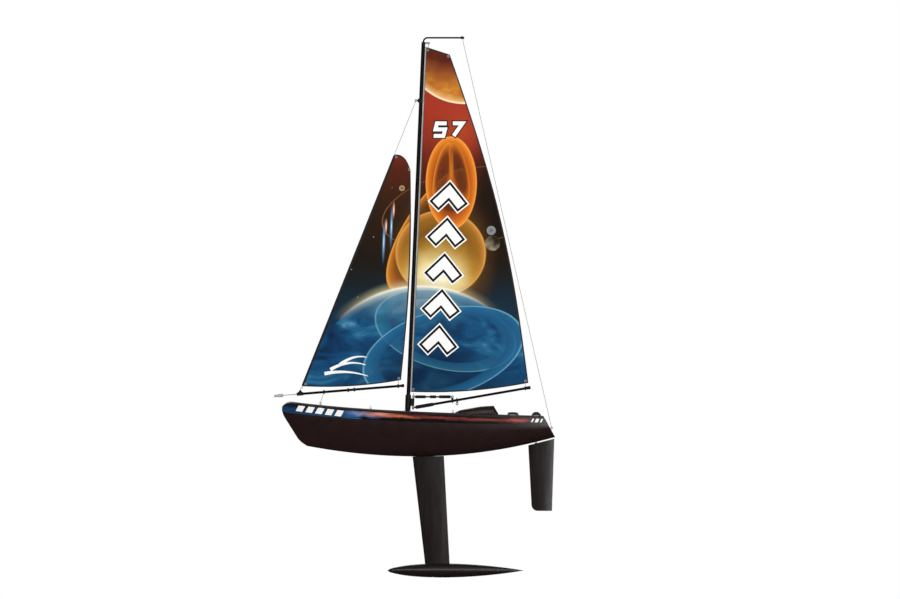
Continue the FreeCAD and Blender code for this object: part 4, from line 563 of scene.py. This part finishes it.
def bars(tree, mm, colour, middle, slope, pitch, share, half_length, half_height):
    """White bars with a black edge. A bar is where x - LEAN z along the band, wrapped to half a pitch each
    way, is less than half a pitch times the share."""
    local = add(tree, "ShaderNodeMapping", {"Vector": mm}, vector_type="TEXTURE",
                Location=(middle[0], 0, middle[1]), Rotation=(0, math.radians(slope), 0))
    split = add(tree, "ShaderNodeSeparateXYZ", {0: local.outputs[0]})
    leaning = add(tree, "ShaderNodeMath", {0: split.outputs["Z"], 2: split.outputs["X"]},
                  operation="MULTIPLY_ADD")
    leaning.inputs[1].default_value = -LEAN
    wrapped = add(tree, "ShaderNodeMath", {0: leaning.outputs[0]}, operation="WRAP")
    wrapped.inputs[1].default_value, wrapped.inputs[2].default_value = pitch / 2, -pitch / 2
    for grow, paint in ((OUTLINE, "#050507"), (0.0, "#F5F5F3")):
        mask = sized(tree, wrapped.outputs[0], pitch * share / 2 + grow)
        for value, half in ((leaning.outputs[0], half_length), (split.outputs["Z"], half_height + grow)):
            limit = sized(tree, value, half)
            mask = add(tree, "ShaderNodeMath", {0: mask, 1: limit}, operation="MULTIPLY").outputs[0]
        colour = blended(tree, mask, colour, linear(paint))
    return colour


topside, tree, body = shader("topside_print", Roughness=0.26)
body.inputs["Coat Weight"].default_value = 0.3
mm = in_mm(tree)
colour = picture(tree, mm, linear("#0A0707"), FLARES)
streaks = add(tree, "ShaderNodeMapping", {"Vector": mm}, Rotation=(0, math.radians(STREAK_SLOPE), 0),
              Scale=(1 / STREAK_LENGTH, 0, 1 / STREAK_HEIGHT))
streak = add(tree, "ShaderNodeTexNoise", {"Vector": streaks.outputs[0]}, Scale=1.0, Detail=4.0,
             Distortion=0.8)
shadow = ramp(tree, streak.outputs["Fac"],
              [(0.30, "#070506", 0.9), (0.42, "#120A0A", 0.4), (0.52, "#120A0A", 0.0), (1.0, "#120A0A", 0.0)])
colour = blended(tree, shadow.outputs["Alpha"], colour, shadow.outputs["Color"])
for row in BARS:
    colour = bars(tree, mm, colour, *row)
tree.links.new(colour, body.inputs["Base Color"])
finishes["topside_print"] = topside
print("topside print made")

# %% [markdown]
# ## Dressing the CAD parts
# The record says which slot each part takes its finish from, so one loop dresses them all.

# %% Dress the CAD parts
for row in frame["record"]["subparts"]:
    mesh = parts[row["node"]].data
    mesh.materials.clear()
    mesh.materials.append(finishes[row["material_slot"]])

# %% [markdown]
# ## The sails' shape
# A sail is a surface of two parameters: u runs from the luff to the leech and v from the
# foot to the head. The luff is straight, the leech is bowed by its roach, and between them
# the film bellies out to port, deepest a little forward of the middle of the chord.

# %% The sails' shape
RAKE = math.radians(2.45)
MAST_FOOT = (-36.3, 77.47)
LUFF_AFT = 3.9
STAY_FOOT, STAY_TOP, STAY_GAP = (-219.2, 113.25), (-22.1, 606.35), 0.8
BELLY = 0.045
FORWARD = 0.5
HEAD_LEAN = 0.35
FILM = 0.3
NEWTON_STEPS = 14


def rig(aft, up):
    """(x, z) of a place given in mm aft of the mast and up it. The mast leans aft by its rake."""
    return (MAST_FOOT[0] + aft * math.cos(RAKE) + up * math.sin(RAKE),
            MAST_FOOT[1] + up * math.cos(RAKE) - aft * math.sin(RAKE))


def on_stay(z):
    """A place STAY_GAP behind the jib's stay, which runs straight from the boom's front cap to the hounds."""
    slope = (STAY_TOP[0] - STAY_FOOT[0]) / (STAY_TOP[1] - STAY_FOOT[1])
    return (STAY_FOOT[0] + slope * (z - STAY_FOOT[1]) + STAY_GAP * math.hypot(1, slope), z)


MAIN = {"tack": rig(LUFF_AFT, 33), "head": rig(LUFF_AFT, 621), "clew": (169.1, 125.5),
        "peak": (35.4, 684.4), "roach": 19.4, "foot_round": 6.0, "head_round": 0.0}
JIB = {"tack": on_stay(119.85), "head": on_stay(514), "clew": (-47.8, 130.3), "peak": (-31.4, 486.5),
       "roach": 6.5, "foot_round": 5.0, "head_round": 8.0}


def sail_at(sail, u, v):
    """Points of the port face, in mm. The place between luff and leech is luff + u (leech - luff), and the
    leech is bowed by roach sin(pi v). The arch 4u(1-u) bellies the film by BELLY of the chord, and more
    towards the luff. The arch times (1-v)^4 rounds the foot, and times v^6 the head."""
    u, v = np.broadcast_arrays(np.asarray(u, float), np.asarray(v, float))
    tack, head, clew, peak = (np.array(sail[k]) for k in ("tack", "head", "clew", "peak"))
    front = tack + (head - tack) * v[..., None]
    back = clew + (peak - clew) * v[..., None]
    back[..., 0] += sail["roach"] * np.sin(math.pi * v)
    flat = front + (back - front) * u[..., None]
    arch = 4 * u * (1 - u)
    chord = np.linalg.norm(back - front, axis=-1)
    top = sail["head_round"] * arch * v ** 6
    x = flat[..., 0] + HEAD_LEAN * top
    y = -BELLY * chord * arch * (1 + FORWARD * (0.5 - u))
    z = flat[..., 1] + top - sail["foot_round"] * arch * (1 - v) ** 4
    return np.stack([x, y, z], axis=-1)


def sail_under(sail, x, z):
    """Points of the port face straight behind places in side view, in mm: Newton's method on (u, v)."""
    u, v, nudge = np.full(x.shape, 0.5), np.full(x.shape, 0.5), 1e-5
    for _ in range(NEWTON_STEPS):
        here = sail_at(sail, u, v)
        along = (sail_at(sail, u + nudge, v) - here) / nudge
        across = (sail_at(sail, u, v + nudge) - here) / nudge
        dx, dz = x - here[..., 0], z - here[..., 2]
        det = along[..., 0] * across[..., 2] - along[..., 2] * across[..., 0]
        u = np.clip(u + (dx * across[..., 2] - dz * across[..., 0]) / det, 0, 1)
        v = np.clip(v + (dz * along[..., 0] - dx * along[..., 2]) / det, 0, 1)
    return np.stack([x, sail_at(sail, u, v)[..., 1], z], axis=-1)


for name, sail in (("main_sail", MAIN), ("jib_sail", JIB)):
    spread = sail_at(sail, *np.meshgrid(np.linspace(0, 1, 80), np.linspace(0, 1, 160)))
    low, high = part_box(name)
    print(name, "is", np.round(spread.min((0, 1)), 1), "to", np.round(spread.max((0, 1)), 1),
          "and its solid", [round(c / MM, 1) for c in (*low, *high)])

# %% [markdown]
# ## Meshes from grids
# Everything on the sails is a thin closed plate between two grids of points, or a tube
# along a path. The faces of a grid are the same four neighbours everywhere, so they are
# worked out as whole arrays.

# %% Meshes from grids
SHARP_ANGLE = 40


def grid_faces(rows, columns, close_rows=False, close_columns=False):
    """The four corners of each cell of a grid of points, as point numbers."""
    number = np.arange(rows * columns).reshape(rows, columns)
    if close_rows:
        number = np.vstack([number, number[:1]])
    if close_columns:
        number = np.hstack([number, number[:, :1]])
    cells = np.stack([number[:-1, :-1], number[:-1, 1:], number[1:, 1:], number[1:, :-1]], axis=-1)
    return cells.reshape(-1, 4)


def plate(near, far):
    """A closed plate: one grid of points, another behind it, and a wall round their edges."""
    rows, columns = near.shape[:2]
    number = np.arange(rows * columns).reshape(rows, columns)
    rim = np.concatenate([number[0, :-1], number[:-1, -1], number[-1, :0:-1], number[:0:-1, 0]])
    back = rows * columns
    wall = np.stack([rim, np.roll(rim, -1), np.roll(rim, -1) + back, rim + back], axis=-1)
    faces = np.concatenate([grid_faces(rows, columns), grid_faces(rows, columns)[:, ::-1] + back, wall])
    return np.concatenate([near.reshape(-1, 3), far.reshape(-1, 3)]), faces


def tube(path, radius, sides, closed=False):
    """A round profile carried along a path: point + radius (cos a, sin a) in the plane square to it."""
    way = np.roll(path, -1, 0) - np.roll(path, 1, 0) if closed else np.gradient(path, axis=0)
    ahead = way / np.linalg.norm(way, axis=1, keepdims=True)
    side = np.cross(ahead, (0.0, 1.0, 0.0))
    side /= np.linalg.norm(side, axis=1, keepdims=True)
    over = np.cross(ahead, side)
    angle = np.linspace(0, 2 * math.pi, sides, endpoint=False)[None, :, None]
    ring = np.cos(angle) * side[:, None] + np.sin(angle) * over[:, None]
    points = (path[:, None] + radius * ring).reshape(-1, 3)
    faces = grid_faces(len(path), sides, closed, True).tolist()
    if not closed:
        last = len(points) - sides
        faces += [list(range(sides)), list(range(last, last + sides))]
    return points, faces


def piece(name, bodies, body, slot, material=None):
    """One object from several closed bodies of points, in mm, and faces. It rides a body of the boat, and
    takes its slot's finish unless it has a material of its own."""
    points, faces, start = [], [], 0
    for some, corners in bodies:
        points.append(some)
        faces += [[int(c) + start for c in face] for face in corners]
        start += len(some)
    mesh = bpy.data.meshes.new(name)
    mesh.from_pydata((np.concatenate(points) * MM).tolist(), [], faces)
    work = bmesh.new()
    work.from_mesh(mesh)
    bmesh.ops.recalc_face_normals(work, faces=work.faces)
    work.to_mesh(mesh)
    work.free()
    mesh.polygons.foreach_set("use_smooth", np.ones(len(mesh.polygons), bool))
    mesh.set_sharp_from_angle(angle=math.radians(SHARP_ANGLE))
    mesh.materials.append(material or finishes[slot])
    made = bpy.data.objects.new(name, mesh)
    bpy.context.scene.collection.objects.link(made)
    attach(made, body)
    print(name, len(mesh.polygons), "faces")
    return made


def lifted(points, by):
    """The points moved by so many mm towards starboard, or to port where by is negative."""
    return points + np.array([0.0, by, 0.0])


# %% The film of both sails
def film(name, sail, body, slot, columns, rows):
    """The sail's film as a closed plate between its port face and one a film's thickness behind it."""
    u, v = np.meshgrid(np.linspace(0, 1, columns), np.linspace(0, 1, rows))
    face = sail_at(sail, u, v)
    cloth = piece(name, [plate(face, lifted(face, FILM))], body, slot)
    a, b = face[1:, 1:] - face[:-1, :-1], face[1:, :-1] - face[:-1, 1:]
    print(name, "area", round(float(np.linalg.norm(np.cross(a, b), axis=-1).sum()) / 2 * MM * MM, 5), "m2")
    return cloth


main_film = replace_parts(film("main_sail_film", MAIN, "main_rig", "main_sail_film", 41, 121), "main_sail")
jib_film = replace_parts(film("jib_sail_film", JIB, "jib_rig", "jib_sail_film", 41, 91), "jib_sail")

# %% [markdown]
# ## Bindings, tape and pocket
# A narrow black tape is folded over each sail's edge so that it doesn't tear. On the
# mainsail's luff a strip of plain milky film lies over that tape, beside the mast, and the
# jib's luff is a pocket that slides over the stay.

# %% Bindings
BINDING = 2.1
OVERHANG = 0.25
LIFT = 0.16
EDGE_POINTS = 90
binding_finish = finish("woven_binding", ("#0B0A0B", "#171517"), (0.5, 0.7), (0.7, 0.7, 0.7), 0.03)


def edge_loop(sail, inset, count):
    """u and v round the sail's edge, inset by so many mm: squeezed by inset / chord or inset / height."""
    t = np.arange(count) / count
    zero, one = np.zeros(count), np.ones(count)
    u = np.concatenate([t, one, 1 - t, zero])
    v = np.concatenate([zero, t, one, 1 - t])
    spans = sail_at(sail, 1.0, v) - sail_at(sail, 0.0, v)
    chord = np.linalg.norm(spans, axis=-1)
    height = math.dist(sail["head"], sail["tack"])
    return inset / chord + u * (1 - 2 * inset / chord), inset / height + v * (1 - 2 * inset / height)


def binding(name, sail, body):
    """A tape folded over the edge: a four-cornered profile carried round the sail, and closed on itself."""
    inner, outer = (sail_at(sail, *edge_loop(sail, inset, EDGE_POINTS)) for inset in (BINDING, -OVERHANG))
    profile = np.stack([lifted(inner, -LIFT), lifted(outer, -LIFT), lifted(outer, FILM + LIFT),
                        lifted(inner, FILM + LIFT)], axis=1)
    faces = grid_faces(len(profile), 4, True, True)
    return piece(name, [(profile.reshape(-1, 3), faces)], body, "fitting_black", binding_finish)


main_binding = binding("main_sail_binding", MAIN, "main_rig")
jib_binding = binding("jib_sail_binding", JIB, "jib_rig")

# %% Luff tape and luff pocket
TAPE_WIDTH, TAPE_OVERHANG = 1.5, 0.4
POCKET_ENDS, POCKET_RADIUS, POCKET_FORWARD = (121, 513), 1.15, 0.7
tape_finish = finish("milky_tape", ("#9A9290", "#B0A8A5"), (0.4, 0.5), (6, 6, 20), 0.02)
v = np.linspace(0, 1, 120)[:, None]
chord = np.linalg.norm(sail_at(MAIN, 1.0, v) - sail_at(MAIN, 0.0, v), axis=-1)
face = sail_at(MAIN, np.linspace(-TAPE_OVERHANG, TAPE_WIDTH, 4)[None, :] / chord, v)
tape = plate(lifted(face, -2 * LIFT), lifted(face, FILM + 2 * LIFT))
main_tape = piece("main_luff_tape", [tape], "main_rig", "main_sail_film", tape_finish)
pocket_z = np.linspace(*POCKET_ENDS, 60)
pocket_x = on_stay(pocket_z)[0] - POCKET_FORWARD
pocket = np.stack([pocket_x, np.full_like(pocket_z, FILM / 2), pocket_z], axis=-1)
jib_pocket = piece("jib_luff_pocket", [tube(pocket, POCKET_RADIUS, 12)], "jib_rig", "fitting_black",
                   binding_finish)

# %% [markdown]
# ## Eyelets and stitching
# Nickelled eyelets take the lashings at the corners. They are tori, a little thicker than
# they are wide in section. The binding is sewn down with a zigzag of thread, which runs
# along it on each face of the sail.

# %% Eyelets
EYELET, WIRE = 1.7, 0.5
STAND = 1.1
EYELET_INSET = 4.2
ROUND, SECTION = 24, 8


def eyelet(sail, u, v):
    """A torus square to Y: middle + (EYELET + WIRE cos b) (cos a, 0, sin a), and STAND WIRE sin b along Y."""
    middle = sail_at(sail, u, v) + (0, FILM / 2, 0)
    a = np.linspace(0, 2 * math.pi, ROUND, endpoint=False)[:, None]
    b = np.linspace(0, 2 * math.pi, SECTION, endpoint=False)[None, :]
    ring = EYELET + WIRE * np.cos(b)
    points = np.stack([ring * np.cos(a), STAND * WIRE * np.sin(b) + 0 * a, ring * np.sin(a)], axis=-1)
    return (points + middle).reshape(-1, 3), grid_faces(ROUND, SECTION, True, True)


def corners(sail):
    """Eyelets near the tack, the clew, the peak and the head, each an inset from both edges."""
    height = math.dist(sail["head"], sail["tack"])
    found = []
    for low in (True, False):
        v = EYELET_INSET / height if low else 1 - EYELET_INSET / height
        chord = np.linalg.norm(sail_at(sail, 1.0, v) - sail_at(sail, 0.0, v))
        found += [eyelet(sail, e / chord, v) for e in (EYELET_INSET, chord - EYELET_INSET)]
    return found


main_eyelets = piece("main_sail_eyelets", corners(MAIN), "main_rig", "eye_metal")
jib_eyelets = piece("jib_sail_eyelets", corners(JIB), "jib_rig", "eye_metal")

# %% Stitching
STITCH_INSETS = (1.35, 0.6)
STITCHES = 260
THREAD = 0.11
thread_finish = finish("polyester_thread", ("#2B292A", "#454244"), (0.55, 0.7), (0.4, 0.4, 0.4), 0.01)


def stitching(name, sail, body):
    """A zigzag thread on each face: its inset swings between two values from one stitch to the next."""
    inner, outer = (sail_at(sail, *edge_loop(sail, inset, STITCHES)) for inset in STITCH_INSETS)
    swing = (np.arange(len(inner)) % 2)[:, None]
    path = inner * swing + outer * (1 - swing)
    threads = [tube(lifted(path, by), THREAD, 4, closed=True) for by in (-LIFT, FILM + LIFT)]
    return piece(name, threads, body, "fitting_black", thread_finish)


main_thread = stitching("main_sail_stitching", MAIN, "main_rig")
jib_thread = stitching("jib_sail_stitching", JIB, "jib_rig")

# %% [markdown]
# ## Marks on the sails
# A sail carries a number and the class's marks, cut from sticky film. Here they are a plain
# racing number, a column of five chevrons up the mainsail, and three swept stripes at the
# foot of the jib. Each stroke is a flat ribbon along a line, laid on the bellied film. The
# number is white over a wider black ribbon, and the chevrons have one more white ribbon
# under both, each lifted a little further from the film than the one below it.

# %% Strokes
CUTS, ACROSS = 26, 5
MARK_THICK = 0.08
LIFTS = (0.14, 0.26, 0.38)


def stroke(line, half, longer=0.0, taper=(1.0, 1.0)):
    """A ribbon in side view: line + t half n, with t from -1 to 1. At a corner n is the mitre
    (n1 + n2) / (1 + n1.n2), so that both sides stay straight. Longer carries both ends on, in mm."""
    line = np.array(line, float)
    ahead = np.diff(line, axis=0)
    ahead /= np.linalg.norm(ahead, axis=1, keepdims=True)
    line[0] -= longer * ahead[0]
    line[-1] += longer * ahead[-1]
    normal = np.stack([-ahead[:, 1], ahead[:, 0]], axis=1)
    mitre = np.concatenate([normal[:1], normal[:-1] + normal[1:], normal[-1:]])
    mitre[1:-1] /= (1 + (normal[:-1] * normal[1:]).sum(1))[:, None]
    length = np.concatenate([[0], np.cumsum(np.linalg.norm(np.diff(line, axis=0), axis=1))])
    at = np.unique(np.concatenate([np.linspace(0, length[-1], CUTS), length]))
    middle = np.stack([np.interp(at, length, line[:, k]) for k in (0, 1)], axis=1)
    out = np.stack([np.interp(at, length, mitre[:, k]) for k in (0, 1)], axis=1)
    wide = half * np.interp(at, [0, length[-1]], taper)
    t = np.linspace(-1, 1, ACROSS)[None, :, None]
    return middle[:, None] + t * (wide[:, None] * out)[:, None]


def mark(name, sail, strokes, colour, lift, side):
    """Ribbons laid on one face of a sail as thin closed plates, lifted so many mm clear of it."""
    near, far = -lift, -lift - MARK_THICK
    if side == "starboard":
        near, far = FILM - near, FILM - far
    bodies = []
    for ribbon in strokes:
        under = sail_under(sail, ribbon[..., 0], ribbon[..., 1])
        bodies.append(plate(lifted(under, near), lifted(under, far)))
    body, slot = ("main_rig", "main_sail_film") if sail is MAIN else ("jib_rig", "jib_sail_film")
    return piece(name, bodies, body, slot, colour)


mark_white = finish("white_mark_film", ("#F2F2F0", "#FBFBFA"), (0.38, 0.46), (8, 8, 8), 0.01)
mark_black = finish("black_mark_film", ("#040304", "#0A0809"), (0.42, 0.5), (8, 8, 8), 0.01,
                    **{"Specular IOR Level": 0.15})

# %% Number
DIGIT = {"5": [(1, 1), (0, 1), (0, 0.52), (1, 0.52), (1, 0), (0, 0)], "7": [(0, 1), (1, 1), (0.42, 0)]}
NUMBER = "57"
NUMBER_AT, DIGIT_SIZE, DIGIT_STEP, SLANT = (8.0, 546.0), (16.5, 21.5), 27.0, 0.26
NUMBER_TONES = {"edge": (5.1, mark_black), "face": (3.3, mark_white)}
main_marks, jib_marks = [], []


def number_lines(mirror):
    """The number's lines. On the starboard face they run the other way along the boat, so that they read."""
    lines = []
    for place, digit in enumerate(NUMBER):
        x = np.array([p[0] for p in DIGIT[digit]]) * DIGIT_SIZE[0] + place * DIGIT_STEP
        z = np.array([p[1] for p in DIGIT[digit]]) * DIGIT_SIZE[1]
        x = x + SLANT * z
        if mirror:
            x = DIGIT_STEP + DIGIT_SIZE[0] + SLANT * DIGIT_SIZE[1] - x
        lines.append(np.stack([x + NUMBER_AT[0], z + NUMBER_AT[1]], axis=1))
    return lines


for side in ("port", "starboard"):
    lines = number_lines(side == "starboard")
    for (tone, (half, colour)), lift in zip(NUMBER_TONES.items(), LIFTS):
        ribbons = [stroke(line, half, half - NUMBER_TONES["face"][0]) for line in lines]
        main_marks.append(mark(f"main_number_{tone}_{side}", MAIN, ribbons, colour, lift, side))

# %% Chevrons
CHEVRON_FROM, CHEVRON_TO, CHEVRONS = (16.0, 196.0), (34.0, 440.0), 5
CHEVRON = [(-22.0, -12.0), (0.0, 12.0), (22.0, -12.0)]
CHEVRON_TONES = {"border": (13.4, mark_white), "edge": (11.2, mark_black), "face": (7.4, mark_white)}


def chevron_lines():
    """The chevron repeated up a leaning line, each turned to point along it."""
    way = np.array(CHEVRON_TO) - np.array(CHEVRON_FROM)
    up = way / np.linalg.norm(way)
    side = np.array([up[1], -up[0]])
    shape = np.array(CHEVRON)
    return [np.array(CHEVRON_FROM) + way * k / (CHEVRONS - 1) + shape[:, :1] * side + shape[:, 1:] * up
            for k in range(CHEVRONS)]


for side in ("port", "starboard"):
    for (tone, (half, colour)), lift in zip(CHEVRON_TONES.items(), LIFTS):
        ribbons = [stroke(line, half, half - CHEVRON_TONES["face"][0]) for line in chevron_lines()]
        main_marks.append(mark(f"main_chevrons_{tone}_{side}", MAIN, ribbons, colour, lift, side))

# %% Stripes on the jib
STRIPE, STRIPE_TAPER = 3.0, (1.0, 0.2)
# Each stripe: where it starts, its length, its rise and its bow.
STRIPES = [(-178, 141, 74, -4, 5), (-168, 148, 60, 8, 7), (-152, 156, 46, 13, 6)]


def swept(x0, z0, length, rise, bow):
    """A line that rises along the boat and bows up in its middle: z0 + rise s + bow 4s(1-s)."""
    s = np.linspace(0, 1, 16)
    return np.stack([x0 + length * s, z0 + rise * s + bow * 4 * s * (1 - s)], axis=1)


for side in ("port", "starboard"):
    ribbons = [stroke(swept(*row), STRIPE, taper=STRIPE_TAPER) for row in STRIPES]
    jib_marks.append(mark(f"jib_stripes_{side}", JIB, ribbons, mark_white, LIFTS[0], side))
